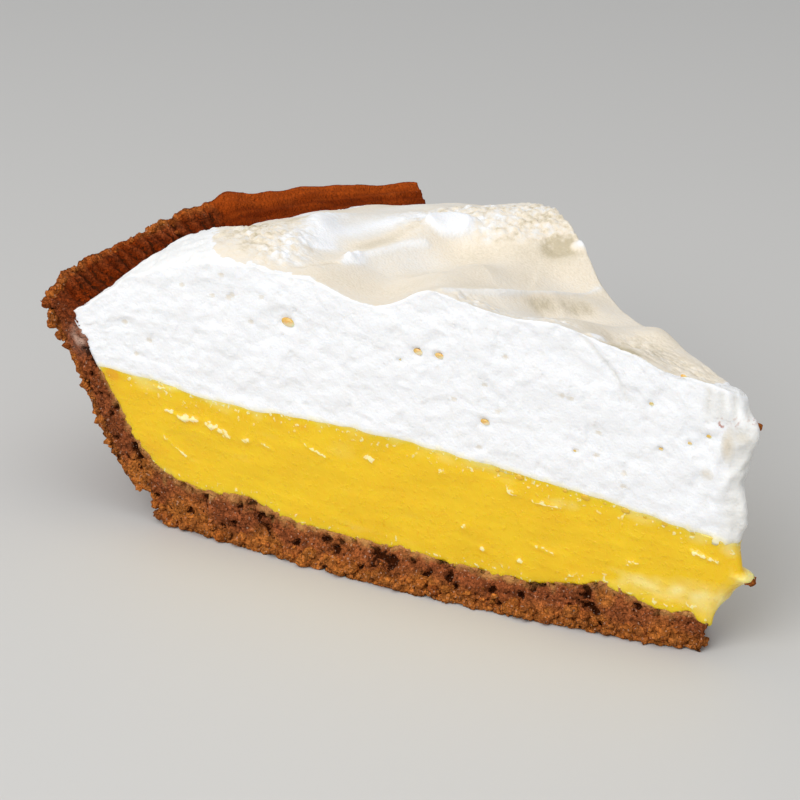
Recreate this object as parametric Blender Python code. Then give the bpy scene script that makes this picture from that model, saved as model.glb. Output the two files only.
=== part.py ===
"""A cut slice of lemon cream pie: a crumb crust with a flared wall, lemon filling and whipped cream.

Metres, +Z up. The slice points along +X, its rim is at -X, and its two cut faces meet in the tip.
Radii are measured from that tip, and an angle runs from the cut at -Y to the cut at +Y.
"""
import math

import bmesh
import bpy
from mathutils import Vector, noise

# The slice in plan
SLICE_ANGLE = math.radians(41.0)    # an eighth and a bit of the whole pie
RIM_RADIUS = 0.1153                 # the tip to the crust's outer lip
TIP_X = 0.0592                      # the tip, with the slice's box centred on the origin
NOSE = 0.0009                       # how far the tip is rounded off
NOSE_REACH = 0.012                  # up to this radius
GAP = 0.0003                        # kept between pieces that touch
WALL_GAP = 0.0004                   # the same, measured level, at the slanted wall

# The crust in section, as radius and height
TIP_SETBACK = 0.0068                # the crust has crumbled back from the tip
TIP_SLANT = 0.0045                  # and by this much more at the foot of the +Y cut
TOP_SLANT = 0.0030                  # by this much more at the top of the base there
SLANT_TOP = 0.0140                  # the lemon's tip slants with it, up to this height
BASE_BULGE = 0.0020                 # the base spreads out of the cuts at its foot
FOOT_RADIUS = 0.0940                # where the flat base ends
LIP_HEIGHT = 0.0328                 # the lip at the -Y cut
CORNER = (0.0945, 0.0093)           # where the base turns up into the wall, inside
WALL_OUTSIDE = [(FOOT_RADIUS, 0.0), (0.0968, 0.0047), (0.0993, 0.0052), (0.1035, 0.0103),
                (0.1070, 0.0177), (0.1095, 0.0236), (RIM_RADIUS, LIP_HEIGHT)]
WALL_INSIDE = [(0.0093, 0.0945), (0.0140, 0.0991), (0.0182, 0.1015), (0.0226, 0.1043),
               (0.0275, 0.1066), (0.0324, 0.1099)]          # height, then radius
EDGE = WALL_INSIDE[-1]
BASE_TOP = [(0.0060, 0.0047), (0.0082, 0.0059), (0.0130, 0.0056), (0.0225, 0.0076),
            (0.0300, 0.0056), (0.0450, 0.0051), (0.0535, 0.0058), (0.0600, 0.0054),
            (0.0740, 0.0064), (0.0780, 0.0079), (0.0885, 0.0077), CORNER]

# How much the lip and the rim's inner edge stand higher along the rim, from the -Y cut to the +Y cut
LIP_RISE = [(0.0, 0.0008), (0.06, 0.0031), (0.22, 0.0038), (0.36, 0.0053), (0.57, 0.0064),
            (0.66, 0.0052), (0.80, 0.0044), (0.92, 0.0032), (1.0, 0.0027)]
EDGE_RISE = [(0.0, 0.0), (0.10, 0.0001), (0.20, 0.0009), (0.32, 0.0019), (0.50, 0.0026),
             (0.65, 0.0027), (0.80, 0.0021), (1.0, 0.0005)]
SHOULDER = 0.0226                   # the rise fades out down to this height

# The fillings in section, as radius and height
LEMON_TOP = [(0.0020, 0.0178), (0.0130, 0.0192), (0.0300, 0.0212), (0.0620, 0.0232),
             (0.0850, 0.0228), (0.0950, 0.0240), (0.1060, 0.0247)]
TIP = [(0.0050, 0.0066), (0.0085, 0.0058), (0.0120, 0.0050), (0.0150, 0.0046), (0.0180, 0.0048),
       (0.0260, 0.0043), (0.0340, 0.0036), (0.0370, 0.0041), (0.0398, 0.0060)]   # height, then radius

# The cream's top along each cut, as radius and height, before the spatula strokes
TOP_NEAR = [(0.0, 0.0396), (0.0075, 0.0409), (0.0135, 0.0415), (0.0195, 0.0432), (0.0300, 0.0453),
            (0.0370, 0.0450), (0.0450, 0.0458), (0.0520, 0.0466), (0.0600, 0.0463),
            (0.0720, 0.0455), (0.0840, 0.0453), (0.0940, 0.0424), (0.1020, 0.0378), (0.1099, 0.0324)]
TOP_FAR = [(0.0, 0.0370), (0.0105, 0.0378), (0.0205, 0.0388), (0.0350, 0.0383), (0.0460, 0.0392),
           (0.0535, 0.0446), (0.0620, 0.0469), (0.0715, 0.0450), (0.0815, 0.0417), (0.0960, 0.0373),
           (0.1099, 0.0324)]
# The cream's shoulder by the rim: how much it stands higher, from the -Y cut to the +Y cut, and
# the radii between which it rises and falls
CROWN = [(0.0, 0.0), (0.06, 0.0016), (0.12, 0.0025), (0.20, 0.0032), (0.28, 0.0026), (0.36, 0.0018),
         (0.45, 0.0014), (0.60, 0.0009), (0.80, 0.0006), (1.0, 0.0)]
CROWN_STARTS = (0.072, 0.086)
CROWN_ENDS = 0.098

# Spatula strokes: each point is radius, angle in degrees and height change; then the half width
STROKES = [
    ([(0.0590, 0, -0.0036), (0.0630, 12, -0.0040), (0.0610, 24, -0.0046), (0.0540, 33, -0.0026),
      (0.0465, 41, 0.0)], 0.0072),                                               # the long scoop
    ([(0.0503, 0, 0.0008), (0.0445, 13, 0.0013), (0.0420, 24, 0.0012), (0.0440, 40, 0.0006)], 0.0028),
    ([(0.0400, 9, -0.0006), (0.0385, 18, -0.0016), (0.0370, 27, -0.0014), (0.0345, 40, -0.0002)],
     0.0036),
    ([(0.0695, 4, 0.0004), (0.0690, 14, 0.0009), (0.0690, 23, 0.0012)], 0.0026),  # lip of the scoop
    ([(0.0755, 4, 0.0006), (0.0805, 14, 0.0011), (0.0870, 22, 0.0002)], 0.0030),  # a white ridge
    ([(0.0725, 26, 0.0014), (0.0715, 32, 0.0010), (0.0660, 39, 0.0006)], 0.0060),  # the lumpy mound
    ([(0.0275, 38, 0.0012), (0.0290, 41, 0.0012)], 0.0036),                       # a bump near the tip
    ([(0.0250, 18, -0.0014), (0.0225, 27, -0.0008), (0.0150, 24, -0.0005)], 0.0034),
    ([(0.0870, 6, -0.0008), (0.0900, 14, -0.0012)], 0.0045),
]

# How finely each piece is divided: along the slice, from cut to cut, and through it
CRUST_CELLS = (28, 16, 34, 3)       # the base and the wall have their own counts along the slice
LEMON_CELLS = (28, 14, 6)
CREAM_CELLS = (36, 24, 6)

# Uneven surfaces: how far they stand in or out, and how large the lumps are
CRUST_CRAGS = 0.0008
RIM_CRAGS = 0.0012                  # up and down, along the broken rim
CUT_CRAGS = 0.0004
CRAG_SIZE = 0.0042
CREAM_LUMPS = 0.0005
LUMP_SIZE = 0.0075
# Where the crags are, as shares of the crust's length and thickness
CRAGS_THROUGH = 0.8                 # they fade out this far in from the outside
CRAGS_AT_TIP = 0.06                 # they cover this much of the base by the tip
CRAGS_AT_FOOT = 0.02                # they start this much before the foot
RIM_STARTS = 0.9

FLAT_ANGLE = math.radians(0.05)     # faces that lie this flat are joined
SHARP_ANGLE = math.radians(40)      # an edge sharper than this is shaded as an edge


def keyed(keys, x):
    """Value at x of the smooth curve through (x, value) keys; it goes on straight past its ends."""
    spans = list(zip(keys, keys[1:]))
    slopes = [(b[1] - a[1]) / (b[0] - a[0]) for a, b in spans]
    if x <= keys[0][0]:
        return keys[0][1] + slopes[0] * (x - keys[0][0])
    if x >= keys[-1][0]:
        return keys[-1][1] + slopes[-1] * (x - keys[-1][0])
    i = next(i for i, (a, b) in enumerate(spans) if x <= b[0])
    a, b = spans[i]
    start = (slopes[i - 1] + slopes[i]) / 2 if i > 0 else slopes[i]
    end = (slopes[i] + slopes[i + 1]) / 2 if i + 1 < len(slopes) else slopes[i]
    width = b[0] - a[0]
    t = (x - a[0]) / width
    return ((2 * t**3 - 3 * t**2 + 1) * a[1] + (t**3 - 2 * t**2 + t) * width * start
            + (3 * t**2 - 2 * t**3) * b[1] + (t**3 - t**2) * width * end)


def along(points, share):
    """The point at a share of the length of a line of points."""
    points = [Vector(p) for p in points]
    lengths = [(b - a).length for a, b in zip(points, points[1:])]
    left = share * sum(lengths)
    for a, b, length in zip(points, points[1:], lengths):
        if left <= length:
            return a.lerp(b, left / length)
        left -= length
    return points[-1]


def smooth_step(low, high, x):
    t = min(max((x - low) / (high - low), 0.0), 1.0)
    return t * t * (3 - 2 * t)


def in_plan(radius, turn):
    """Where a radius and a turn, 0 at the -Y cut and 1 at the +Y cut, lie in plan."""
    angle = (turn - 0.5) * SLICE_ANGLE
    return Vector((TIP_X - radius * math.cos(angle), radius * math.sin(angle), 0.0))


def stretch(turn, rise):
    """How many times as high as at the -Y cut the wall stands over its shoulder."""
    return 1 + keyed(rise, turn) / (LIP_HEIGHT - SHOULDER)


def lifted(height, turn, rise):
    """A height near the lip, raised with the lip or with the rim's inner edge."""
    return height + max(height - SHOULDER, 0.0) * (stretch(turn, rise) - 1)


def wall_radius(height, turn):
    """Radius of the crust's inner face at a height."""
    over = max(height - SHOULDER, 0.0)
    return keyed(WALL_INSIDE, height - over + over / stretch(turn, EDGE_RISE))


def tip_radius(height, turn):
    """Radius of the fillings' end at the tip."""
    low = 1 - smooth_step(BASE_TOP[0][1], SLANT_TOP, height)
    return keyed(TIP, height) + TOP_SLANT * turn * low


def stroke_change(place):
    """The height change that the spatula strokes make at a place in plan."""
    change = 0.0
    for path, half_width in STROKES:
        nearest, value = 1.0, 0.0
        spots = [(in_plan(r, math.radians(a) / SLICE_ANGLE), h) for r, a, h in path]
        for (a, high_a), (b, high_b) in zip(spots, spots[1:]):
            t = min(max((place - a).dot(b - a) / (b - a).length_squared, 0.0), 1.0)
            distance = (place - a.lerp(b, t)).length
            if distance < nearest:
                nearest, value = distance, high_a + (high_b - high_a) * t
        change += value * math.exp(-(nearest / half_width) ** 2)
    return change


def cream_top(radius, turn):
    """Height of the cream's swirled top."""
    place = in_plan(radius, turn)
    height = keyed(TOP_NEAR, radius) * (1 - turn) + keyed(TOP_FAR, radius) * turn
    crown = smooth_step(*CROWN_STARTS, radius) * (1 - smooth_step(CROWN_ENDS, EDGE[1], radius))
    height += keyed(CROWN, turn) * crown
    height += stroke_change(place)
    height += CREAM_LUMPS * noise.noise(place / LUMP_SIZE)
    edge_rise = lifted(EDGE[0], turn, EDGE_RISE) - EDGE[0]
    return height + edge_rise * smooth_step(CROWN_ENDS, EDGE[1], radius)


def new_material(name, colour, roughness, metallic=0.0):
    material = bpy.data.materials.new(name)
    material.use_nodes = True
    shader = material.node_tree.nodes["Principled BSDF"]
    shader.inputs["Base Color"].default_value = (*colour, 1.0)
    shader.inputs["Roughness"].default_value = roughness
    shader.inputs["Metallic"].default_value = metallic
    return material


def gridded_block(rows, columns, layers):
    """A closed unit block, its faces gridded: x runs to the rim, y from cut to cut, z upwards."""
    bm = bmesh.new()
    bmesh.ops.create_grid(bm, x_segments=rows, y_segments=layers, size=0.5)
    bmesh.ops.translate(bm, verts=bm.verts, vec=(0.5, 0.5, 0.0))
    bmesh.ops.spin(bm, geom=bm.verts[:] + bm.edges[:] + bm.faces[:], cent=(0, 0, 0),
                   axis=(0, 0, 1), dvec=(0, 0, 1 / columns), angle=0.0, steps=columns)
    for vert in bm.verts:
        vert.co = Vector((vert.co.x, vert.co.z, vert.co.y))
    return bm


def shaped(name, bm, shape, material):
    """Move each point of a gridded block to its place and make the piece."""
    for vert in bm.verts:
        vert.co = shape(*vert.co)
    bmesh.ops.recalc_face_normals(bm, faces=bm.faces)
    if bm.calc_volume(signed=True) < 0:
        bmesh.ops.reverse_faces(bm, faces=bm.faces)
    bmesh.ops.dissolve_limit(bm, angle_limit=FLAT_ANGLE, verts=bm.verts, edges=bm.edges)
    bmesh.ops.triangulate(bm, faces=bm.faces)
    mesh = bpy.data.meshes.new(name)
    bm.to_mesh(mesh)
    bm.free()
    mesh.materials.append(material)
    mesh.shade_smooth()
    mesh.set_sharp_from_angle(angle=SHARP_ANGLE)
    piece = bpy.data.objects.new(name, mesh)
    bpy.context.scene.collection.objects.link(piece)
    return piece


def nosed(radius, turn):
    """Rounds the tip: the middle of the tip's edge stands out by the nose."""
    nearness = 1 - smooth_step(0.0, NOSE_REACH, radius)
    return radius - NOSE * nearness * (1 - (2 * turn - 1) ** 2)


def placed(point, turn):
    """A radius and a height at one turn, as a point in space."""
    return in_plan(nosed(point.x, turn), turn) + Vector((0, 0, point.y))


def crags(place, seed):
    """Uneven broken crumb, between about -1 and 1."""
    return noise.noise(place / CRAG_SIZE + Vector((seed, 3 * seed, 5 * seed)))


def crust_point(u, turn, w):
    """A point of the crust: u runs from the tip to the lip, w from the outside in."""
    base_share = CRUST_CELLS[0] / (CRUST_CELLS[0] + CRUST_CELLS[1])
    if u <= base_share:
        start = TIP_SETBACK + TIP_SLANT * turn
        outer = Vector((start + (FOOT_RADIUS - start) * u / base_share, 0.0))
        start = BASE_TOP[0][0] + TOP_SLANT * turn
        radius = start + (CORNER[0] - start) * u / base_share
        inner = Vector((radius, keyed(BASE_TOP, radius)))
    else:
        up = (u - base_share) / (1 - base_share)
        outer = along(WALL_OUTSIDE, up)
        outer.y = lifted(outer.y, turn, LIP_RISE)
        height = lifted(CORNER[1] + (EDGE[0] - CORNER[1]) * up, turn, EDGE_RISE)
        inner = Vector((wall_radius(height, turn), height))
    place = placed(outer.lerp(inner, w), turn)

    outward = (place - in_plan(0, turn)).normalized()
    outward.z = 0
    outside = 1 - smooth_step(0.0, CRAGS_THROUGH, w)
    by_foot = smooth_step(base_share - CRAGS_AT_FOOT, base_share + CRAGS_AT_FOOT, u)
    rough = max(by_foot, 1 - smooth_step(0.0, CRAGS_AT_TIP, u))
    place += outward * crags(place, 0) * outside * rough * CRUST_CRAGS
    place.z += crags(place, 1) * outside * smooth_step(RIM_STARTS, 1.0, u) * RIM_CRAGS
    if turn in (0.0, 1.0):
        out_of_cut = Vector((outward.y, -outward.x, 0)) * (2 * turn - 1)
        bulge = BASE_BULGE * (1 - w) * math.sin(math.pi * min(u / base_share, 1.0))
        place += out_of_cut * (bulge + crags(place, 2) * CUT_CRAGS)
    if outer.y == 0.0 and w == 0.0:
        place.z = 0.0
    return place


def filling_point(u, turn, w, floor, ceiling, floor_ends, ceiling_ends):
    """A point of a filling: floor and ceiling give heights, and the tip and the wall bow its ends."""
    def straight(share):
        low = floor_ends[0] + (floor_ends[1] - floor_ends[0]) * share
        high = ceiling_ends[0] + (ceiling_ends[1] - ceiling_ends[0]) * share
        return Vector((low, floor(low))).lerp(Vector((high, ceiling(high))), w)

    first, point, last = straight(0), straight(u), straight(1)
    point.x += (tip_radius(first.y, turn) - first.x) * (1 - u)
    point.x += (wall_radius(last.y, turn) - WALL_GAP - last.x) * u
    return placed(point, turn)


def lemon_point(u, turn, w):
    """A point of the lemon filling: w runs from the base of the crust to the filling's top."""
    return filling_point(
        u, turn, w,
        lambda radius: keyed(BASE_TOP, radius) + GAP,
        lambda radius: keyed(LEMON_TOP, radius),
        (BASE_TOP[0][0] + TOP_SLANT * turn, CORNER[0]),
        (keyed(TIP, LEMON_TOP[0][1]), LEMON_TOP[-1][0]))


def cream_point(u, turn, w):
    """A point of the whipped cream: w runs from the lemon's top to the swirled top."""
    return filling_point(
        u, turn, w,
        lambda radius: keyed(LEMON_TOP, radius) + GAP,
        lambda radius: cream_top(radius, turn),
        (keyed(TIP, LEMON_TOP[0][1]), LEMON_TOP[-1][0]), (TIP[-1][1], EDGE[1]))


for old in list(bpy.data.objects):
    bpy.data.objects.remove(old, do_unlink=True)

base_rows, wall_rows, crust_columns, crust_layers = CRUST_CELLS
shaped("crumb_crust", gridded_block(base_rows + wall_rows, crust_columns, crust_layers),
       crust_point, new_material("crumb crust", (0.21, 0.065, 0.017), 0.85))
shaped("lemon_filling", gridded_block(*LEMON_CELLS), lemon_point,
       new_material("lemon filling", (0.88, 0.56, 0.03), 0.25))
shaped("whipped_cream", gridded_block(*CREAM_CELLS), cream_point,
       new_material("whipped cream", (0.90, 0.89, 0.87), 0.6))
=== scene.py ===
"""A cut slice of lemon cream pie: a crumb crust, lemon filling and swirled whipped cream.

Metres, +Z up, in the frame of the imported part. The slice stands on z = 0 and points along +X.
Radii are measured from its tip. A turn, 0 to 1, runs from the cut at -Y to the cut at +Y.
"""

import functools
import math
import random

import bmesh
import bpy
from mathutils import Matrix, Vector, noise


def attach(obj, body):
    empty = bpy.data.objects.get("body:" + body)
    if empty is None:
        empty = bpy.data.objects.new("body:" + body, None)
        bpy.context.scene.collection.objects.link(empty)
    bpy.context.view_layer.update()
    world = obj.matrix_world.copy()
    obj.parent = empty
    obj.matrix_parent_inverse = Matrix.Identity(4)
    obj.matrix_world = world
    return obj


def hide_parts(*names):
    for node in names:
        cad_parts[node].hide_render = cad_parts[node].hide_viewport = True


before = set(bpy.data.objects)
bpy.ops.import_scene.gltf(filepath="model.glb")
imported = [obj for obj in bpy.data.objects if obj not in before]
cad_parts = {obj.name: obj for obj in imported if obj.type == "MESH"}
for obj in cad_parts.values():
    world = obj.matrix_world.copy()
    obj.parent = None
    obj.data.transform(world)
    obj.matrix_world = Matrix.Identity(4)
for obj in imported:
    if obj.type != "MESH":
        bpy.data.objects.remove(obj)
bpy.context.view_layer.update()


# The table, the light and the camera
# A plain pale table top, a big soft light at the camera's left and a weak one overhead.
# The camera looks down on the near cut from the front and a little from the tip's side.
CAMERA_TARGET = Vector((-0.00666, -0.00409, 0.0200))
CAMERA_ROUND = math.radians(45.12)      # 0 would look along +Y
CAMERA_ABOVE = math.radians(23.43)
CAMERA_TILT = math.radians(1.37)
CAMERA_AWAY = 0.3402
CAMERA_LENS = 99.09                     # mm
CAMERA_FILM = 36.0                      # mm wide
CAMERA_NEAREST = 0.01
TABLE_SIZE = 6.0
TABLE_DROP = 0.0001                     # keeps the table clear of the slice's flat foot
TABLE_ROUGHNESS = 0.55
TABLE_GLOSS = 0.3
TABLE_COLOUR = (0.56, 0.55, 0.53, 1.0)
SKY_COLOUR = (0.95, 0.97, 1.0, 1.0)
SKY_STRENGTH = 0.50
SOFT_LIGHTS = [                         # name, degrees round, degrees up, away, width, watts
    ("window", 8.0, 40.0, 0.90, 0.70, 5.2),
    ("ceiling", 60.0, 80.0, 0.90, 0.80, 2.2),
]


def towards(round_, above):
    """The direction from the slice to a thing at these angles round and above it."""
    flat = math.cos(above)
    return Vector((math.sin(round_) * flat, -math.cos(round_) * flat, math.sin(above)))


def linked(name, data):
    """A new object of this data, in the scene."""
    thing = bpy.data.objects.new(name, data)
    bpy.context.scene.collection.objects.link(thing)
    return thing


def new_material(name, roughness, specular=0.5):
    """A new material, its node tree and its shader."""
    material = bpy.data.materials.new(name)
    material.use_nodes = True
    shader = material.node_tree.nodes["Principled BSDF"]
    shader.inputs["Roughness"].default_value = roughness
    shader.inputs["Specular IOR Level"].default_value = specular
    return material, material.node_tree, shader


back = towards(CAMERA_ROUND, CAMERA_ABOVE)
camera_data = bpy.data.cameras.new("camera")
camera_data.lens = CAMERA_LENS
camera_data.sensor_width = CAMERA_FILM
camera_data.clip_start = CAMERA_NEAREST
camera = linked("camera", camera_data)
camera.location = CAMERA_TARGET + back * CAMERA_AWAY
facing = back.to_track_quat("Z", "Y").to_matrix() @ Matrix.Rotation(CAMERA_TILT, 3, "Z")
camera.rotation_euler = facing.to_euler()
bpy.context.scene.camera = camera

for name, round_, above, away, width, watts in SOFT_LIGHTS:
    light_data = bpy.data.lights.new(name, "AREA")
    light_data.shape = "DISK"
    light_data.size = width
    light_data.energy = watts
    light = linked(name, light_data)
    direction = towards(math.radians(round_), math.radians(above))
    light.location = direction * away
    light.rotation_euler = direction.to_track_quat("Z", "Y").to_euler()

world = bpy.data.worlds.new("room")
world.use_nodes = True
world.node_tree.nodes["Background"].inputs["Color"].default_value = SKY_COLOUR
world.node_tree.nodes["Background"].inputs["Strength"].default_value = SKY_STRENGTH
bpy.context.scene.world = world
bpy.context.scene.view_settings.view_transform = "Standard"

bm = bmesh.new()
bmesh.ops.create_grid(bm, x_segments=1, y_segments=1, size=TABLE_SIZE / 2)
bmesh.ops.translate(bm, verts=bm.verts, vec=(0, 0, -TABLE_DROP))
table_mesh = bpy.data.meshes.new("table_top")
bm.to_mesh(table_mesh)
bm.free()
table = linked("table_top", table_mesh)
table_material, _, table_shader = new_material("matt table top", TABLE_ROUGHNESS, TABLE_GLOSS)
table_shader.inputs["Base Color"].default_value = TABLE_COLOUR
table_mesh.materials.append(table_material)


# The crumb crust
# Fine biscuit crumb and butter, pressed into a shallow round dish, baked, and cut with the slice.
# The cuts show packed crumb with small hollows, and the broken rim stands round the cream.
SLICE_ANGLE = math.radians(41.0)
RIM_RADIUS = 0.1153                 # the tip to the crust's outer lip
TIP_X = 0.0592
NOSE = 0.0009                       # how far the tip is rounded off
NOSE_REACH = 0.012
TIP_SETBACK = 0.0068                # the crust has crumbled back from the tip
TIP_SLANT = 0.0045                  # and by this much more at the foot of the +Y cut
TOP_SLANT = 0.0030                  # by this much more at the top of the base there
SLANT_TOP = 0.0090                  # the lemon's tip slants with it, up to this height
TIP_WORN = 0.0017                   # the foot of the cuts is worn back this far at the tip
TIP_WEAR_REACH = 0.0060
RIDGE_SPACING = 0.0023              # between the rim's cross ridges
BASE_BULGE = 0.0031                 # the base spreads out of the cuts at its foot
FOOT_RADIUS = 0.0940
LIP_HEIGHT = 0.0328
CORNER = (0.0945, 0.0093)           # where the base turns up into the wall, inside
WALL_OUTSIDE = [(FOOT_RADIUS, 0.0), (0.0968, 0.0047), (0.0993, 0.0052), (0.1035, 0.0103),
                (0.1070, 0.0177), (0.1095, 0.0236), (RIM_RADIUS, LIP_HEIGHT)]
WALL_INSIDE = [(0.0093, 0.0945), (0.0140, 0.0991), (0.0182, 0.1015), (0.0226, 0.1043),
               (0.0275, 0.1066), (0.0324, 0.1099)]          # height, then radius
EDGE = WALL_INSIDE[-1]
BASE_TOP = [(0.0060, 0.0047), (0.0082, 0.0059), (0.0130, 0.0056), (0.0225, 0.0076),
            (0.0300, 0.0056), (0.0450, 0.0051), (0.0535, 0.0058), (0.0600, 0.0054),
            (0.0740, 0.0064), (0.0780, 0.0079), (0.0885, 0.0077), CORNER]
# How much the lip and the rim's inner edge stand higher along the rim, from the -Y cut to the +Y cut
LIP_RISE = [(0.0, 0.0008), (0.06, 0.0031), (0.22, 0.0038), (0.36, 0.0053), (0.57, 0.0064),
            (0.66, 0.0052), (0.80, 0.0044), (0.92, 0.0032), (1.0, 0.0027)]
EDGE_RISE = [(0.0, 0.0), (0.10, 0.0001), (0.20, 0.0009), (0.32, 0.0019), (0.50, 0.0026),
             (0.65, 0.0027), (0.80, 0.0021), (1.0, 0.0005)]
SHOULDER = 0.0226                   # the rise fades out down to this height
FAR_HALF = (0.46, 0.52)             # between these turns the rim's ridges give way to flat layers
LIP_ROWS = (0.90, 1.0)              # shares up the wall; outside, the far half's colour starts here
KNIFE_SWAY = 0.0003                 # the knife wandered so far in and out, over this length
KNIFE_LENGTH = 0.0055
CUT_CRUMB = 0.00070                 # how far the crumb stands out, on the cuts and outside
WALL_CRUMB = 0.0008
HOLLOW_DEPTH = 0.0012
CRUST_CELLS = (290, 110, 330, 24)   # along the base, up the wall, from cut to cut, through it
BASE_SHARE = CRUST_CELLS[0] / (CRUST_CELLS[0] + CRUST_CELLS[1])     # of the rows from tip to lip
FOOT_ROWS = 0.02                    # this share of them bulges at the foot, outside
RIM_STARTS = 0.96                   # the rim shows over the cream from this share of them on

# Hollows in the near cut, where a crumb is missing, darkened with painted shade: radius, height, size,
# all in millimetres
NEAR_HOLLOWS = [
    (107.2, 26.6, 1.7), (106.2, 25.2, 1.2), (103.5, 16.9, 0.8), (106.7, 22.8, 0.6), (105.4, 19.7, 0.6),
    (99.2, 11.9, 1.3), (98.3, 10.4, 1.2), (97.2, 6.1, 0.6), (78.7, 7.1, 1.2), (86.9, 6.2, 0.8),
    (80.9, 6.2, 0.8), (76.9, 5.1, 1.4), (75.4, 5.5, 0.9), (81.6, 3.3, 0.8), (81.6, 1.1, 0.8),
    (85.4, 0.3, 1.1), (79.7, 0.8, 0.8), (83.4, 2.3, 0.7), (70.4, 2.8, 0.6), (65.7, 4.4, 1.0),
    (64.0, 3.3, 1.0), (57.3, 4.3, 1.7), (55.9, 3.9, 1.3), (54.7, 3.5, 1.5), (57.6, 2.4, 0.7),
    (61.0, 4.8, 0.7), (91.0, 7.5, 0.7), (47.1, 5.2, 1.1), (45.2, 3.2, 1.1), (48.5, 3.0, 0.9),
    (34.7, 5.5, 1.0), (32.6, 4.9, 1.5), (31.5, 4.9, 1.0), (29.5, 5.5, 0.7), (23.8, 7.3, 1.6),
    (24.1, 6.0, 1.2), (24.2, 4.9, 1.2), (23.4, 3.9, 1.2), (22.6, 3.2, 1.1), (21.5, 1.4, 0.9),
    (37.0, 1.5, 0.6), (38.4, 2.9, 0.6), (34.0, 3.1, 0.7), (26.3, 2.9, 0.7), (44.1, 2.4, 0.6),
    (36.3, 6.1, 0.7),
]
# Golden, less packed crumb in the near cut: radius, height and size in millimetres
GOLDEN_PATCHES = [(21.3, 5.4, 1.5), (22.3, 1.0, 2.2), (25.4, 1.0, 1.8), (49.5, 0.6, 2.0),
                  (12.0, 1.0, 3.0), (61.0, 0.7, 2.4), (76.0, 1.6, 3.2), (90.0, 2.0, 4.0),
                  (98.5, 9.0, 2.4)]
LEMON_AT_WALL = 0.0245              # up to this height a film of lemon lies on the cut crumb's edge
# Cream dragged over the wall's cut: radius and height, then reach along and up, in millimetres
CREAM_SMEAR = ((108.6, 28.6), 1.3, 1.7)
CRUMB_BROWN = (0.322, 0.088, 0.028, 1.0)
CRUMB_GOLD = (0.545, 0.178, 0.034, 1.0)
CRUMB_TOAST_AND_SHADE = (0.165, 0.021, 0.001, 1.0)
CRUMB_ORANGE = (0.400, 0.068, 0.006, 1.0)
CRUMB_SMEARED = (0.520, 0.330, 0.250, 1.0)
CRUMB_FILMED = (0.640, 0.320, 0.100, 1.0)
CRUMB_SHADE = (0.050, 0.011, 0.002, 1.0)
CRUMB_SPARK = (0.660, 0.440, 0.320, 1.0)
UNCHANGED = (1.0, 1.0, 1.0, 1.0)    # a colour that changes nothing when it is multiplied in
CRUMB_SCALES = (1250.0, 2900.0)     # grains in a metre, coarse and fine
CRUMB_TINTS = ("golden", "toasted_and_shaded", "shaded_hollow", "smeared", "filmed", "calm")


def keyed(keys, x):
    """Value at x of the smooth curve through (x, value) keys; it goes on straight past its ends."""
    spans = list(zip(keys, keys[1:]))
    slopes = [(b[1] - a[1]) / (b[0] - a[0]) for a, b in spans]
    if x <= keys[0][0]:
        return keys[0][1] + slopes[0] * (x - keys[0][0])
    if x >= keys[-1][0]:
        return keys[-1][1] + slopes[-1] * (x - keys[-1][0])
    i = next(i for i, (a, b) in enumerate(spans) if x <= b[0])
    a, b = spans[i]
    start = (slopes[i - 1] + slopes[i]) / 2 if i > 0 else slopes[i]
    end = (slopes[i] + slopes[i + 1]) / 2 if i + 1 < len(slopes) else slopes[i]
    width = b[0] - a[0]
    t = (x - a[0]) / width
    return ((2 * t**3 - 3 * t**2 + 1) * a[1] + (t**3 - 2 * t**2 + t) * width * start
            + (3 * t**2 - 2 * t**3) * b[1] + (t**3 - t**2) * width * end)


def along(points, share):
    """The point at a share of the length of a line of points."""
    points = [Vector(p) for p in points]
    lengths = [(b - a).length for a, b in zip(points, points[1:])]
    left = share * sum(lengths)
    for a, b, length in zip(points, points[1:], lengths):
        if left <= length:
            return a.lerp(b, left / length)
        left -= length
    return points[-1]


def held(value, low=0.0, high=1.0):
    """A value kept between two others."""
    return min(max(value, low), high)


def smooth_step(low, high, x):
    """A smooth rise from 0 at low to 1 at high."""
    t = held((x - low) / (high - low))
    return t * t * (3 - 2 * t)


def fading(low, high, x):
    """A smooth fall from 1 at low to 0 at high."""
    return 1 - smooth_step(low, high, x)


def bell(distance):
    """1 at no distance, and smoothly less on either side of it."""
    return math.exp(-distance**2)


def apart(radius, height, spot, reach, rise=None):
    """How far a place on a cut is from a spot in millimetres, in reaches along and up."""
    return math.hypot((radius * 1000 - spot[0]) / reach, (height * 1000 - spot[1]) / (rise or reach))


def in_plan(radius, turn):
    """Where a radius and a turn lie in plan."""
    angle = (turn - 0.5) * SLICE_ANGLE
    return Vector((TIP_X - radius * math.cos(angle), radius * math.sin(angle), 0.0))


def radius_of(place):
    """The radius at which a place in space lies."""
    return (place - in_plan(0, 0.5)).xy.length


def along_rim(turn):
    """How far along the rim a turn lies."""
    return turn * SLICE_ANGLE * RIM_RADIUS


def stretch(turn, rise):
    """How many times as high as at the -Y cut the wall stands over its shoulder."""
    return 1 + keyed(rise, turn) / (LIP_HEIGHT - SHOULDER)


def lifted(height, turn, rise):
    """A height near the lip, raised with the lip or with the rim's inner edge."""
    return height + max(height - SHOULDER, 0.0) * (stretch(turn, rise) - 1)


@functools.lru_cache(maxsize=None)
def wall_radius(height, turn):
    """Radius of the crust's inner face at a height."""
    over = max(height - SHOULDER, 0.0)
    return keyed(WALL_INSIDE, height - over + over / stretch(turn, EDGE_RISE))


def placed(point, turn):
    """A radius and a height at one turn, as a point in space; the tip's edge is rounded off."""
    nearness = fading(0.0, NOSE_REACH, point.x)
    radius = point.x - NOSE * nearness * (1 - (2 * turn - 1) ** 2)
    return in_plan(radius, turn) + Vector((0, 0, point.y))


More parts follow.
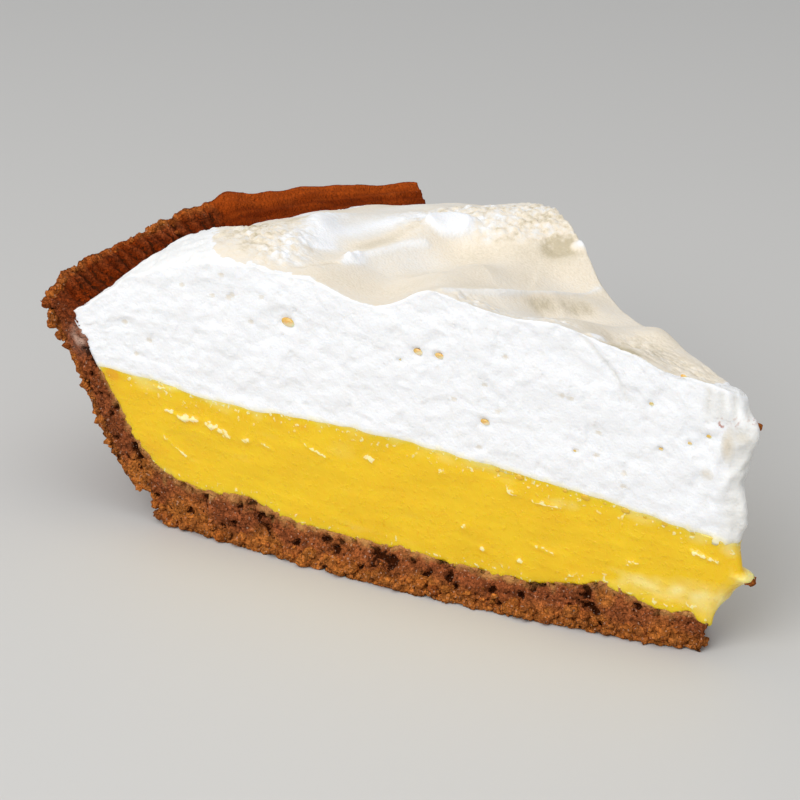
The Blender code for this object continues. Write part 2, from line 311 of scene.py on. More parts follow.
def gridded_block(rows, columns, layers, coarse):
    """A closed unit block, its faces gridded: x runs to the rim, y from cut to cut, z upwards.

    Ten faces in a row are joined where coarse says that a point needs no fine ones: against
    another piece, under the foot, or at the narrow tip.
    """
    counts = (rows, columns, layers)
    axes = Matrix.Identity(4).col
    bm = bmesh.new()
    for across, up in ((0, 1), (0, 2), (1, 2)):
        through = 3 - across - up
        for level in (0.0, 1.0):
            side = Matrix((axes[across], axes[up], axes[through], axes[3])).transposed()
            middle = Vector((0.5, 0.5, 0.5))
            middle[through] = level
            side.translation = middle
            bmesh.ops.create_grid(bm, x_segments=counts[across], y_segments=counts[up],
                                  size=0.5, matrix=side)
    bmesh.ops.remove_doubles(bm, verts=bm.verts, dist=0.00001)
    for vert in bm.verts:
        vert.co = Vector(round(value, 6) for value in vert.co)
    inner = {vert for vert in bm.verts
             if coarse(*vert.co) and 0 < vert.co.y < 1 and round(vert.co.y * columns) % 10}
    joined = [edge for edge in bm.edges if edge.verts[0] in inner and edge.verts[1] in inner
              and edge.verts[0].co.y == edge.verts[1].co.y]
    bmesh.ops.dissolve_edges(bm, edges=joined, use_verts=True)
    return bm


def shaped(bm, shape, relief):
    """Move the points of a block to their places, then in or out by the relief of the surface."""
    spots = [vert.co.copy() for vert in bm.verts]
    for vert in bm.verts:
        vert.co = shape(*vert.co)
    bmesh.ops.recalc_face_normals(bm, faces=bm.faces)
    if bm.calc_volume(signed=True) < 0:
        bmesh.ops.reverse_faces(bm, faces=bm.faces)
    bm.normal_update()
    moves = [vert.normal * relief(vert, *spot) for vert, spot in zip(bm.verts, spots)]
    for vert, move in zip(bm.verts, moves):
        vert.co += move
        vert.co.z = max(vert.co.z, 0.0)


def as_piece(name, bm, material):
    """The finished object of a bmesh, smooth shaded, in its material."""
    mesh = bpy.data.meshes.new(name)
    bm.to_mesh(mesh)
    bm.free()
    mesh.materials.append(material)
    mesh.shade_smooth()
    return linked(name, mesh)


def grain(place, size, seed=0.0):
    """Rounded grains: 0 in the creases between them, up to 1 on top."""
    near = noise.voronoi(place / size + Vector((seed, 2 * seed, 3 * seed)))[0]
    return min((near[1] - near[0]) * 1.5, 1.0) ** 0.5


def waviness(place):
    """How the knife wandered in and out as it went through all the layers."""
    return KNIFE_SWAY * noise.noise(place / KNIFE_LENGTH)


def crust_point(u, turn, w):
    """A point of the crust: u runs from the tip to the lip, w from the outside in."""
    if u <= BASE_SHARE:
        start = TIP_SETBACK + TIP_SLANT * turn
        outer = Vector((start + (FOOT_RADIUS - start) * u / BASE_SHARE, 0.0))
        start = BASE_TOP[0][0] + TOP_SLANT * turn
        radius = start + (CORNER[0] - start) * u / BASE_SHARE
        inner = Vector((radius, keyed(BASE_TOP, radius)))
    else:
        up = (u - BASE_SHARE) / (1 - BASE_SHARE)
        outer = along(WALL_OUTSIDE, up)
        outer.y = lifted(outer.y, turn, LIP_RISE)
        height = lifted(CORNER[1] + (EDGE[0] - CORNER[1]) * up, turn, EDGE_RISE)
        inner = Vector((wall_radius(height, turn), height))
    place = placed(outer.lerp(inner, w), turn)
    if turn in (0.0, 1.0):
        outward = (place - in_plan(0, turn)).normalized()
        out_of_cut = Vector((outward.y, -outward.x, 0)) * (2 * turn - 1)
        place += out_of_cut * BASE_BULGE * (1 - w) * math.sin(math.pi * min(u / BASE_SHARE, 1.0))
    return place


def cross_ridges(turn, w):
    """The ridges across the rim, from -1 between them to 1 on top."""
    run = along_rim(turn)
    sway = noise.noise(Vector((run / 0.0045, 1.4 * w, 5.0)))
    ridges = math.sin(math.tau * run / RIDGE_SPACING + 4.0 * sway)
    return ridges * min(0.8 + 0.8 * noise.noise(Vector((run / 0.0031, 0.6 * w, 8.0))), 1.0)


def rim_roughness(place, turn, w):
    """Relief of the broken rim: cross ridges on the near half, flat layers on the far half."""
    lumps = noise.noise(place / 0.0034) + 0.4 * noise.noise(place / 0.0013)
    layers = noise.noise(Vector((along_rim(turn) / 0.011, w * 5.0, 9.0)))
    steps = noise.noise(Vector((along_rim(turn) / 0.0052, 0.4 * w, 2.0)))
    far = smooth_step(*FAR_HALF, turn)
    near_relief = 0.00032 * cross_ridges(turn, w) * (0.3 + 0.7 * w) + 0.0008 * lumps
    far_relief = 0.0005 * layers + 0.0006 * steps + 0.0002 * lumps
    far_relief += 0.0004 * bell((turn - 0.54) / 0.030)
    return near_relief * (1 - far) + far_relief * far


def hollowness(radius, height, place):
    """How deep a point of the near cut lies in one of its hollows, 0 to 1."""
    deepest = 0.0
    for *spot, size in NEAR_HOLLOWS:
        distance = apart(radius, height, spot, size)
        if distance < 1.8:
            distance += 0.75 * noise.noise(place / 0.0009) + 0.35 * noise.noise(place / 0.0004)
            deepest = max(deepest, fading(0.30, 0.75, distance))
    return deepest


def crust_relief(vert, u, turn, w):
    """How far the crumb stands in or out, its golden and toast tints, and the shade painted in its
    hollows, pits and creases.
    """
    place = vert.co
    on_cut = turn in (0.0, 1.0)
    if not on_cut and (w > 0.99 and u < 0.97 or w < 0.01 and 0.03 < u < BASE_SHARE - FOOT_ROWS):
        return 0.0
    up = max(u - BASE_SHARE, 0.0) / (1 - BASE_SHARE)
    radius = radius_of(place)
    crumb = 0.42 * grain(place, 0.0017) + 0.42 * grain(place, 0.0009, 4.0)
    crumb += 0.40 * noise.noise(place / 0.0005) - 0.45
    broad = noise.noise(place / 0.0048 + Vector((7, 1, 3)))
    wide = noise.noise(place / 0.011 + Vector((2, 8, 3)))
    rim = smooth_step(0.84, 0.97, up)
    smoother = rim * smooth_step(*FAR_HALF, turn)
    shaded_hollow = 0.0
    if on_cut:
        height = CUT_CRUMB * crumb * (1 - 0.40 * smooth_step(0.1, 0.8, w)) + waviness(place)
        shaded_hollow = smooth_step(0.40, 0.62, noise.noise(place / 0.0017 + Vector((4, 4, 4))))
        if turn == 0.0:
            shaded_hollow = max(0.8 * shaded_hollow, hollowness(radius, place.z, place))
        height -= HOLLOW_DEPTH * shaded_hollow
        from_end = radius - TIP_SETBACK - TIP_SLANT * turn
        height -= TIP_WORN * fading(0.0, TIP_WEAR_REACH, from_end) * (1 - w)
    else:
        height = (WALL_CRUMB * crumb + 0.0005 * broad) * (1 - 0.75 * smoother) * (1 - 0.6 * rim)
    height += rim * rim_roughness(place, turn, w)

    foot = fading(0.0004, 0.0034, place.z + 0.0012 * broad)
    shell = fading(0.05, 0.30, w + 0.10 * broad)
    golden = max(0.85 * foot, 0.70 * shell) + 0.35 * wide + 0.2 * broad
    outer = fading(0.0, 0.35, w + 0.12 * broad)
    ridges = cross_ridges(turn, w) if rim > 0 else 0.0
    # partly the crust's own toast, partly painted shade: the rim is made darker towards its inner edge
    # by the cream and in the gaps between its cross ridges
    toasted_and_shaded = rim * (0.80 + 0.25 * smooth_step(0.25, 0.8, w) - 0.28 * outer - 0.20 * ridges)
    toasted_and_shaded *= 0.75 + 0.25 * smooth_step(0.0, 0.06, turn)
    toasted_and_shaded = max(toasted_and_shaded, 0.30 * up * smooth_step(0.3, 0.9, up))
    far = smooth_step(*FAR_HALF, turn + 0.02 * broad)
    if w == 0.0 or turn == 1.0:
        far *= smooth_step(*LIP_ROWS, up)
    toasted_and_shaded = toasted_and_shaded * (1 - far * rim) + far * rim * (1.1 + 0.2 * wide)
    smeared = filmed = 0.0
    if turn == 0.0:
        for *spot, size in GOLDEN_PATCHES:
            golden += 0.9 * fading(0.5, 1.3, apart(radius, place.z, spot, size) + 0.4 * broad)
        smeared = bell(apart(radius, place.z, *CREAM_SMEAR)) * (1 + 1.2 * noise.noise(place / 0.0012))
    if on_cut and place.z < LEMON_AT_WALL:
        filmed = smooth_step(0.75, 1.05, w + 0.16 * noise.noise(place / 0.0018)
                             + 0.10 * noise.noise(place / 0.0007))
    # on the far half the golden colour runs in streaks, and painted shade darkens it from the lip down
    # towards the cream
    streak = noise.noise(Vector((along_rim(turn) / 0.0090, w * 9.0, 3.0)))
    streaked_and_shaded = 0.95 - 0.85 * smooth_step(0.05, 0.75, w) + 0.45 * streak
    golden = golden * (1 - rim * far) + streaked_and_shaded * rim * far
    # painted shade: the gaps between the rim's cross ridges, the crumb's lowest places and its hollows
    # are darkened in colour
    between = rim * (1 - far) * smooth_step(0.2, 0.9, -ridges) * smooth_step(0.1, 0.5, w)
    shaded_pits = 0.7 * smooth_step(-0.15, -0.50, crumb) * (1 - smoother) * (1 - 0.6 * rim)
    vert[tints["golden"]] = held(golden)
    vert[tints["toasted_and_shaded"]] = held(toasted_and_shaded + 0.25 * broad)
    vert[tints["shaded_hollow"]] = max(shaded_hollow, shaded_pits, 0.75 * between)
    vert[tints["smeared"]] = held(smeared)
    vert[tints["filmed"]] = 0.8 * filmed
    vert[tints["calm"]] = rim * far
    return height


def set_inputs(tree, node, inputs):
    """Set inputs of a node, by name or number, each to a value or to another node's socket."""
    for place, value in inputs.items():
        if isinstance(value, bpy.types.NodeSocket):
            tree.links.new(value, node.inputs[place])
        else:
            node.inputs[place].default_value = value


def add_node(tree, kind, inputs, **settings):
    """A new shader node of this kind, with these settings and inputs."""
    node = tree.nodes.new("ShaderNode" + kind)
    for name, value in settings.items():
        setattr(node, name, value)
    set_inputs(tree, node, inputs)
    return node


def mixed(tree, amount, first, second, blend="MIX"):
    """The colour between two colours, or one laid on the other in the way that blend names."""
    return add_node(tree, "Mix", {0: amount, 6: first, 7: second},
                    data_type="RGBA", blend_type=blend).outputs[2]


def reckoned(tree, operation, first, second):
    """The outcome of one step of reckoning with two values."""
    return add_node(tree, "Math", {0: first, 1: second}, operation=operation).outputs[0]


def tint(tree, name):
    """The value that the mesh carries under this name."""
    return add_node(tree, "Attribute", {}, attribute_name=name).outputs["Fac"]


def object_place(tree):
    """Where a point lies on its object."""
    return add_node(tree, "TexCoord", {}).outputs["Object"]


def new_group(name, inputs, outputs):
    """A node group with these sockets: the group, its input sockets and its end node."""
    group = bpy.data.node_groups.new(name, "ShaderNodeTree")
    for socket, kind, value in inputs:
        made = group.interface.new_socket(name=socket, in_out="INPUT", socket_type=kind)
        if value is not None:
            made.default_value = value
    for socket in outputs:
        group.interface.new_socket(name=socket, in_out="OUTPUT", socket_type="NodeSocketFloat")
    return group, group.nodes.new("NodeGroupInput").outputs, group.nodes.new("NodeGroupOutput")


# Soft uneven patches between 0 and 1, for colour, gloss and bumps alike
mottle, given, end = new_group(
    "uneven patches",
    [("Vector", "NodeSocketVector", None), ("Scale", "NodeSocketFloat", 1000.0),
     ("Detail", "NodeSocketFloat", 3.0), ("Low", "NodeSocketFloat", 0.35),
     ("High", "NodeSocketFloat", 0.65)],
    ["Mask"])
patches = add_node(mottle, "TexNoise",
                   {name: given[name] for name in ("Vector", "Scale", "Detail")})
patch_range = add_node(mottle, "MapRange", {
    "Value": patches.outputs[0], "From Min": given["Low"], "From Max": given["High"]})
set_inputs(mottle, end, {"Mask": patch_range.outputs[0]})

# Packed crumb: every grain has its own shade, and the grains stand out of the surface
GRAIN_SWAY = 1.1                    # how far the grains' edges are bent, in grains
crumb_group, given, end = new_group(
    "packed crumb",
    [("Vector", "NodeSocketVector", None), ("Scale", "NodeSocketFloat", 1100.0)],
    ["Shade", "Height"])
sway = add_node(crumb_group, "TexNoise", {
    "Vector": given["Vector"], "Scale": given["Scale"], "Detail": 2.0})
sway = add_node(crumb_group, "VectorMath",
                {0: sway.outputs["Color"], 1: (0.5, 0.5, 0.5)}, operation="SUBTRACT")
sway = add_node(crumb_group, "VectorMath", {
    0: sway.outputs["Vector"],
    "Scale": reckoned(crumb_group, "DIVIDE", GRAIN_SWAY, given["Scale"])}, operation="SCALE")
swayed = add_node(crumb_group, "VectorMath",
                  {0: sway.outputs["Vector"], 1: given["Vector"]}, operation="ADD")
cells = add_node(crumb_group, "TexVoronoi", {
    "Vector": swayed.outputs["Vector"], "Scale": given["Scale"]})
shades = add_node(crumb_group, "SeparateColor", {"Color": cells.outputs["Color"]})
set_inputs(crumb_group, end, {
    "Shade": shades.outputs[0],
    "Height": reckoned(crumb_group, "SUBTRACT", 1.0, cells.outputs["Distance"])})


def masked(tree, place, scale, low, high, detail=3.0):
    """A mask of uneven patches of this scale."""
    inputs = {"Vector": place, "Scale": scale, "Low": low, "High": high, "Detail": detail}
    return add_node(tree, "Group", inputs, node_tree=mottle).outputs["Mask"]


def bumped(tree, height, distance, strength, normal=None):
    """A normal bumped by a height."""
    inputs = {"Height": height, "Distance": distance, "Strength": strength}
    if normal:
        inputs["Normal"] = normal
    return add_node(tree, "Bump", inputs).outputs["Normal"]


def ranged(tree, value, low, high, first=0.0, last=1.0):
    """A value moved from one range to another, and kept inside it."""
    return add_node(tree, "MapRange", {
        "Value": value, "From Min": low, "From Max": high, "To Min": first, "To Max": last}).outputs[0]


def crumb_material():
    """Biscuit crumb, tinted by its golden and toast values, with shade painted in its hollows and pits
    and in the creases between its grains and the rim's ridges.
    """
    material, tree, shader = new_material("biscuit crumb", 0.8, 0.05)
    place = object_place(tree)
    calm = ranged(tree, tint(tree, "calm"), 0.0, 1.0, 0.0, 0.65)
    coarse, fine = (add_node(tree, "Group", {"Vector": place, "Scale": scale},
                             node_tree=crumb_group).outputs for scale in CRUMB_SCALES)
    colour = mixed(tree, tint(tree, "golden"), CRUMB_BROWN, CRUMB_GOLD)
    toast = mixed(tree, tint(tree, "golden"), CRUMB_TOAST_AND_SHADE, CRUMB_ORANGE)
    colour = mixed(tree, tint(tree, "toasted_and_shaded"), colour, toast)
    # each grain gets its own tone, and painted shade darkens the creases at the grains' edges
    for grains in (coarse, fine):
        for factor in (ranged(tree, grains["Shade"], 0.0, 1.0, 0.70, 1.25),
                       ranged(tree, grains["Height"], 0.25, 0.55, 0.70, 1.0)):
            factor = mixed(tree, calm, factor, UNCHANGED)
            colour = mixed(tree, 1.0, colour, factor, "MULTIPLY")
    # painted shade: small pores and the mesh's shaded hollows darken the crumb
    pore_shade = reckoned(tree, "ADD", masked(tree, place, 1700.0, 0.30, 0.70), tint(tree, "shaded_hollow"))
    colour = mixed(tree, ranged(tree, pore_shade, 0.85, 1.15), colour, CRUMB_SHADE)
    # painted highlights: small sparkles, lighter and glossier, where the crumb is not toasted
    bare = ranged(tree, tint(tree, "toasted_and_shaded"), 0.2, 0.7, 0.5, 0.0)
    spark = reckoned(tree, "MULTIPLY", masked(tree, place, 2400.0, 0.66, 0.74, 1.0), bare)
    colour = mixed(tree, spark, colour, CRUMB_SPARK)
    colour = mixed(tree, tint(tree, "smeared"), colour, CRUMB_SMEARED)
    colour = mixed(tree, tint(tree, "filmed"), colour, CRUMB_FILMED)
    normal = bumped(tree, coarse["Height"], 0.00045, ranged(tree, calm, 0.0, 1.0, 0.8, 0.35))
    normal = bumped(tree, fine["Height"], 0.00026, 0.9, normal)
    roughness = ranged(tree, spark, 0.0, 0.5, 0.85, 0.35)
    set_inputs(tree, shader, {"Base Color": colour, "Roughness": roughness, "Normal": normal})
    return material


def new_tints(bm, names):
    """Room on the points of a mesh for a value of each of these names."""
    return {name: bm.verts.layers.float.new(name) for name in names}


crumb_finish = crumb_material()
bm = gridded_block(
    CRUST_CELLS[0] + CRUST_CELLS[1], *CRUST_CELLS[2:],
    lambda x, y, z: x == 0 or z == 1 and x < RIM_STARTS or z == 0 and x < BASE_SHARE - FOOT_ROWS)
tints = new_tints(bm, CRUMB_TINTS)
shaped(bm, crust_point, crust_relief)
crust = as_piece("pressed_crumb_crust", bm, crumb_finish)
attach(crust, "root")
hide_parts("crumb_crust")


# Loose crumbs that cling to the crust
# Bits of the same biscuit, a half to two millimetres across, stuck along the foot of the cuts,
# up the wall's outer edge and round the lip, where the crust broke as it was lifted out.
CRUMB_SEED = 11
FOOT_CRUMBS = 360                   # at the foot of each cut
EDGE_CRUMBS = 60                    # on each cut's outer edge
WALL_CRUMBS = 200
RIM_CRUMBS = 14
BULGE_HEIGHT = 0.0065               # the base's spread is gone at this height
# Bigger lumps on the rim: turn, how far in from the lip, and size in millimetres
RIM_CLUMPS = [(0.020, 0.0, 1.8), (0.036, 0.1, 2.2), (0.055, 0.05, 1.6), (0.10, 0.0, 1.3),
              (0.16, 0.0, 1.5), (0.27, 0.0, 1.2), (0.33, 0.0, 1.4), (0.0, 0.1, 1.6)]
# Lumps at the wall's upper corner and its foot on the near cut: radius, height, size in millimetres
CORNER_CLUMPS = [(113.6, 31.2, 1.9), (113.5, 29.9, 1.9), (112.3, 28.3, 1.6), (111.1, 26.7, 1.3),
                 (95.8, 2.9, 1.7), (95.3, 1.2, 1.8)]
# One crumb hangs on the lemon's smear at the tip and one is stuck to the cream above it: place, size
STRAY_CRUMBS = [((0.0577, 0.0011, 0.0121), 0.0016), ((0.0569, 0.0006, 0.0354), 0.0012)]


def crumbs_at(bm, spots, golden, toasted_and_shaded):
    """Small uneven lumps at (place, size) spots, each with its own tint."""
    for place, size in spots:
        squash = Vector((dice.uniform(0.75, 1.2), dice.uniform(0.75, 1.2), dice.uniform(0.65, 1.0)))
        squash *= size / 2
        tint_gold = held(dice.gauss(golden, 0.22))
        tint_toast = held(dice.gauss(toasted_and_shaded, 0.15))
        lump = bmesh.new()
        lump_tints = new_tints(lump, CRUMB_TINTS)
        bmesh.ops.create_icosphere(lump, subdivisions=2, radius=1.0)
        for vert in lump.verts:
            bulge = 1 + 0.60 * noise.noise(vert.co * 1.2 + place * 900)
            bulge += 0.35 * noise.noise(vert.co * 2.9 + place * 700)
            vert.co = place + Vector(a * b for a, b in zip(vert.co, squash)) * bulge
            vert.co.z = max(vert.co.z, 0.0)
            vert[lump_tints["golden"]] = tint_gold
            vert[lump_tints["toasted_and_shaded"]] = tint_toast
        lump.to_mesh(lump_mesh)
        lump.free()
        bm.from_mesh(lump_mesh)


def on_near_cut(radius, height, out=0.0):
    """A place on the near cut, standing out of it by so much."""
    outward = Vector((math.sin(SLICE_ANGLE / 2), -math.cos(SLICE_ANGLE / 2), 0))
    return in_plan(radius, 0.0) + outward * out + Vector((0, 0, height))


def foot_bulge(radius, height):
    """How far the base spreads out of a cut."""
    share = held((radius - TIP_SETBACK) / (FOOT_RADIUS - TIP_SETBACK))
    worn = TIP_WORN * fading(0.0, TIP_WEAR_REACH, radius - TIP_SETBACK)
    return (BASE_BULGE * math.sin(math.pi * share) - worn) * (1 - min(height / BULGE_HEIGHT, 1.0))


def on_wall(share, turn):
    """A flat point on the wall's outside, at a share of its length from the foot up."""
    spot = along(WALL_OUTSIDE, share)
    spot.y = lifted(spot.y, turn, LIP_RISE)
    return spot


def on_rim(turn, share, inset, drop):
    """A place on the rim's top, at a share of its width from the lip in."""
    lip = Vector((RIM_RADIUS - inset, lifted(LIP_HEIGHT, turn, LIP_RISE) - drop))
    inner = Vector((EDGE[1], lifted(EDGE[0], turn, EDGE_RISE)))
    return placed(lip.lerp(inner, share), turn)


def some_size(least, more, fewness):
    """A random size; the greater the fewness, the fewer are big."""
    return least + more * dice.random() ** fewness


dice = random.Random(CRUMB_SEED)
lump_mesh = bpy.data.meshes.new("one crumb")
bm = bmesh.new()
new_tints(bm, CRUMB_TINTS)
spots = []
for side in (0.0, 1.0):
    for _ in range(FOOT_CRUMBS):
        radius = dice.uniform(TIP_SETBACK + TIP_SLANT * side, FOOT_RADIUS)
        size = some_size(0.0005, 0.0019, 3.5)
        height = size * 0.25 + abs(dice.gauss(0.0, 0.0009))
        place = on_near_cut(radius, height, foot_bulge(radius, height) - 0.05 * size)
        place.y *= 1 - 2 * side
        spots.append((place, size))
crumbs_at(bm, spots, golden=0.85, toasted_and_shaded=0.0)
spots = []
for side in (0.0, 1.0):
    for _ in range(EDGE_CRUMBS):
        spot = on_wall(dice.random() ** 0.8, side)
        size = some_size(0.0004, 0.0011, 3)
        spots.append((placed(spot + Vector((dice.uniform(-0.0011, -0.0001), 0.0)), side), size))
for _ in range(WALL_CRUMBS):
    turn = dice.random()
    place = placed(on_wall(dice.uniform(0.05, 0.95), turn), turn)
    spots.append((place, some_size(0.0005, 0.0011, 2)))
crumbs_at(bm, spots, golden=0.85, toasted_and_shaded=0.05)
spots = []
for _ in range(RIM_CRUMBS):
    turn = 0.5 * dice.random() ** 1.3
    place = on_rim(turn, 0.45 * dice.random() ** 2.5, 0.0002, 0.0003)
    spots.append((place, some_size(0.0006, 0.0010, 2)))
spots += [(on_rim(turn, share, 0.0004, 0.0003 * size), size / 1000) for turn, share, size in RIM_CLUMPS]
crumbs_at(bm, spots, golden=0.80, toasted_and_shaded=0.50)
spots = [(on_near_cut(r / 1000, h / 1000, -0.0002), size / 1000) for r, h, size in CORNER_CLUMPS]
crumbs_at(bm, spots, golden=0.75, toasted_and_shaded=0.20)
crumbs_at(bm, [(Vector(place), size) for place, size in STRAY_CRUMBS], golden=0.75, toasted_and_shaded=0.30)
crumbs = as_piece("clinging_crumbs", bm, crumb_finish)
bpy.data.meshes.remove(lump_mesh)
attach(crumbs, "root")
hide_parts("crumb_crust")


# The lemon filling
# Cooked lemon cream, set in the crust: smooth, moist and glossy where the knife went through.
# The knife left shallow drag marks and a paler smear near the tip; small wet highlights are painted
# along the marks, by the cream and low by the crust.
LEMON_TOP = [(0.0020, 0.0178), (0.0130, 0.0192), (0.0300, 0.0212), (0.0620, 0.0232),
             (0.0850, 0.0228), (0.0950, 0.0240), (0.1060, 0.0247)]
TIP = [(0.0047, 0.0054), (0.0071, 0.0052), (0.0095, 0.0046), (0.0135, 0.0031), (0.0174, 0.0038),
       (0.0205, 0.0030), (0.0236, 0.0033), (0.0275, 0.0042), (0.0312, 0.0034), (0.0348, 0.0025),
       (0.0372, 0.0045), (0.0398, 0.0062)]      # height, then radius
TIP_ROUNDING = 0.0012               # how far the tip's upright edges are rounded off
# A smear of lemon stands out at the tip: height, turn, reach up, down and across, and length
BEAK = (0.0129, 0.75, 0.0005, 0.0013, 0.0010, 0.0019)
LEMON_WAVES = 0.00035               # the lemon's top goes up and down by so much, over this length
LEMON_WAVELENGTH = 0.0032
MARK_DEPTH = 0.00010                # of the knife's fine drag marks
SMEAR_HEIGHT = 0.0007               # of the proudest drag mark
LEMON_CELLS = (300, 50, 64)
LEMON_SINK = 0.0008                 # it reaches this far into the crust, where nothing shows
LEMON_YELLOW = (0.855, 0.575, 0.013, 1.0)
LEMON_WARM = (0.840, 0.525, 0.011, 1.0)
LEMON_DEEP = (0.800, 0.400, 0.012, 1.0)
LEMON_PALE = (0.930, 0.790, 0.300, 1.0)
LEMON_GLINT = (0.960, 0.860, 0.480, 1.0)
# Drag marks on the near cut, each with a painted highlight along it: two ends as radius and height in
# millimetres, width, how proud
SMEARS_WITH_HIGHLIGHTS = [
    ((93.4, 19.6), (90.6, 18.9), 0.31, 0.35), ((90.8, 18.8), (88.2, 19.0), 0.43, 0.45),
    ((86.4, 18.9), (82.8, 17.6), 0.55, 0.40), ((80.0, 17.4), (79.4, 17.3), 0.60, 0.40),
    ((94.0, 15.0), (90.0, 12.4), 0.25, 0.30), ((77.2, 17.6), (75.0, 16.8), 0.25, 0.25),
    ((69.4, 18.9), (66.0, 17.6), 0.25, 0.30), ((59.5, 18.8), (58.9, 18.8), 0.50, 0.40),
    ((95.4, 23.0), (91.8, 23.0), 0.31, 0.25), ((47.6, 19.3), (46.8, 19.3), 0.31, 0.30),
    ((36.9, 18.6), (35.9, 18.4), 0.43, 0.35), ((33.0, 17.8), (29.2, 17.7), 0.31, 0.35),
    ((43.9, 11.4), (43.5, 11.3), 0.31, 0.30), ((40.8, 8.4), (40.3, 8.4), 0.37, 0.35),
    ((33.2, 10.9), (29.4, 10.3), 0.31, 0.22), ((35.0, 7.8), (34.4, 7.7), 0.37, 0.35),
    ((9.2, 15.4), (5.6, 14.8), 0.31, 0.40), ((27.0, 7.6), (26.4, 7.6), 0.37, 0.30),
    ((18.2, 11.6), (17.2, 11.8), 0.56, 0.30),
]
# Paler and deeper places on the near cut: radius, height, reach along and up in millimetres, amount
LEMON_PATCHES = [
    (16.5, 8.8, 5.5, 1.4, 0.9), (9.0, 8.6, 5.0, 1.8, 0.9), (4.5, 7.5, 3.0, 3.0, 0.6),
    # the thin deeper line at 22.0, 8.9 is painted shadow under the lemon's bulge
    (28.5, 18.5, 2.5, 1.2, 0.5), (5.0, 18.0, 4.0, 1.5, 0.4), (22.0, 8.9, 2.6, 0.5, -0.9),
    (103.2, 23.6, 1.1, 0.8, -4.0), (70.4, 21.6, 1.2, 0.4, -0.9), (96.0, 13.0, 2.5, 2.0, -0.5),
    (103.0, 19.0, 1.2, 4.0, -0.5),
]


def tip_radius(height, turn):
    """Radius of the fillings' end at the tip."""
    low = fading(BASE_TOP[0][1], SLANT_TOP, height)
    return keyed(TIP, height) + TOP_SLANT * turn * low


def filling_point(u, turn, w, floor, ceiling, floor_ends, ceiling_ends, sink):
    """A point of a filling: floor and ceiling give heights, and the tip and the wall bow its ends."""
    def straight(share):
        low = floor_ends[0] + (floor_ends[1] - floor_ends[0]) * share
        high = ceiling_ends[0] + (ceiling_ends[1] - ceiling_ends[0]) * share
        return Vector((low, floor(low))).lerp(Vector((high, ceiling(high))), w)

    first, point, last = straight(0), straight(u), straight(1)
    point.x += (tip_radius(first.y, turn) - first.x) * (1 - u)
    point.x += (wall_radius(last.y, turn) + sink - last.x) * u
    point.x += TIP_ROUNDING * abs(2 * turn - 1) ** 6 * (1 - u) ** 6
    return placed(point, turn)


@functools.lru_cache(maxsize=None)
def lemon_surface(radius, turn):
    """Height of the lemon's top, where the cream lies on it."""
    waves = noise.noise(in_plan(radius, turn) / LEMON_WAVELENGTH + Vector((3, 3, 3)))
    return keyed(LEMON_TOP, radius) + LEMON_WAVES * waves


def lemon_point(u, turn, w):
    """A point of the lemon filling: w runs from the base of the crust to the filling's top."""
    return filling_point(
        u, turn, w,
        lambda radius: keyed(BASE_TOP, radius) - LEMON_SINK,
        lambda radius: lemon_surface(radius, turn),
        (BASE_TOP[0][0] + TOP_SLANT * turn, CORNER[0]),
        (keyed(TIP, LEMON_TOP[0][1]), LEMON_TOP[-1][0]), LEMON_SINK)


def line_distance(point, first, last):
    """How far a flat point lies from the line between two others."""
    run = last - first
    return (point - first.lerp(last, held((point - first).dot(run) / run.length_squared))).length


def lemon_relief(vert, u, turn, w):
    """How far the cut lemon stands in or out, how pale it is, and where highlights are painted on it.
    """
    place = vert.co
    radius = radius_of(place)
    drag = Vector((radius / 0.0110, place.z / 0.0026, turn * 9))
    marks = noise.noise(drag) + 0.5 * noise.noise(drag * 2.7)
    under_cream = place.z - lemon_surface(radius, turn)
    even = fading(-0.0016, -0.0008, under_cream)
    height = MARK_DEPTH * marks * smooth_step(0.005, 0.010, radius) * even + waviness(place)
    over_floor = place.z - keyed(BASE_TOP, radius)
    from_wall = (wall_radius(place.z, turn) - radius) if place.z > CORNER[1] else 1.0
    spilt = noise.noise(place / 0.0020 + Vector((1, 4, 2))) + 0.5 * noise.noise(place / 0.0009)
    from_crust = min(over_floor, from_wall) + 0.0006 * spilt
    height -= 0.0006 * fading(-LEMON_SINK, -0.0002, from_crust)
    height += 0.0002 * max(spilt, 0.0) * fading(0.0, 0.0010, over_floor)
    height -= 0.00002 * smooth_step(-0.0012, -0.0004, under_cream)
    glint = 0.0
    pale = 0.35 * noise.noise(drag * 1.3 + Vector((5, 5, 5)))
    pale += 0.30 * fading(0.0, 0.0022, over_floor) * noise.noise(place / 0.003)
    pale += smooth_step(-0.0030, -0.0006, under_cream) * (0.15 + noise.noise(place / 0.0035))
    pale += 0.5 * smooth_step(-0.0008, 0.0, under_cream)
    if turn == 0.0 or u == 0.0:
        point = Vector((radius * 1000, place.z * 1000))
        # painted highlights: small glints by the cream and low by the crust, and along the drag marks
        glint = 0.36 * smooth_step(-0.0045, -0.0010, under_cream)
        glint = max(glint, 0.33 * fading(0.0008, 0.0026, over_floor))
        for first, last, width, proud in SMEARS_WITH_HIGHLIGHTS:
            distance = line_distance(point, Vector(first), Vector(last)) / width
            if distance < 2.5:
                ridge = bell(distance + 0.8 * noise.noise(place / 0.0006))
                height += SMEAR_HEIGHT * proud * ridge
                glint = max(glint, 3.0 * proud * ridge)
        for *spot, reach, rise, amount in LEMON_PATCHES:
            distance = apart(radius, place.z, spot, reach, rise)
            if distance < 2.5:
                pale += amount * bell(distance) * (1 + 0.8 * noise.noise(place / 0.0017))
    if u == 0.0:
        high, side, above, under, across, length = BEAK
        over = place.z - high
        beak = bell(over / above) if over > 0 else math.exp(over / under)
        beak *= bell((turn - side) * SLICE_ANGLE * radius / across)
        height += length * beak
        pale += 2.6 * beak
    vert[tints["pale"]] = held(pale, -1.5, 1.5)
    vert[tints["glint"]] = glint
    return height


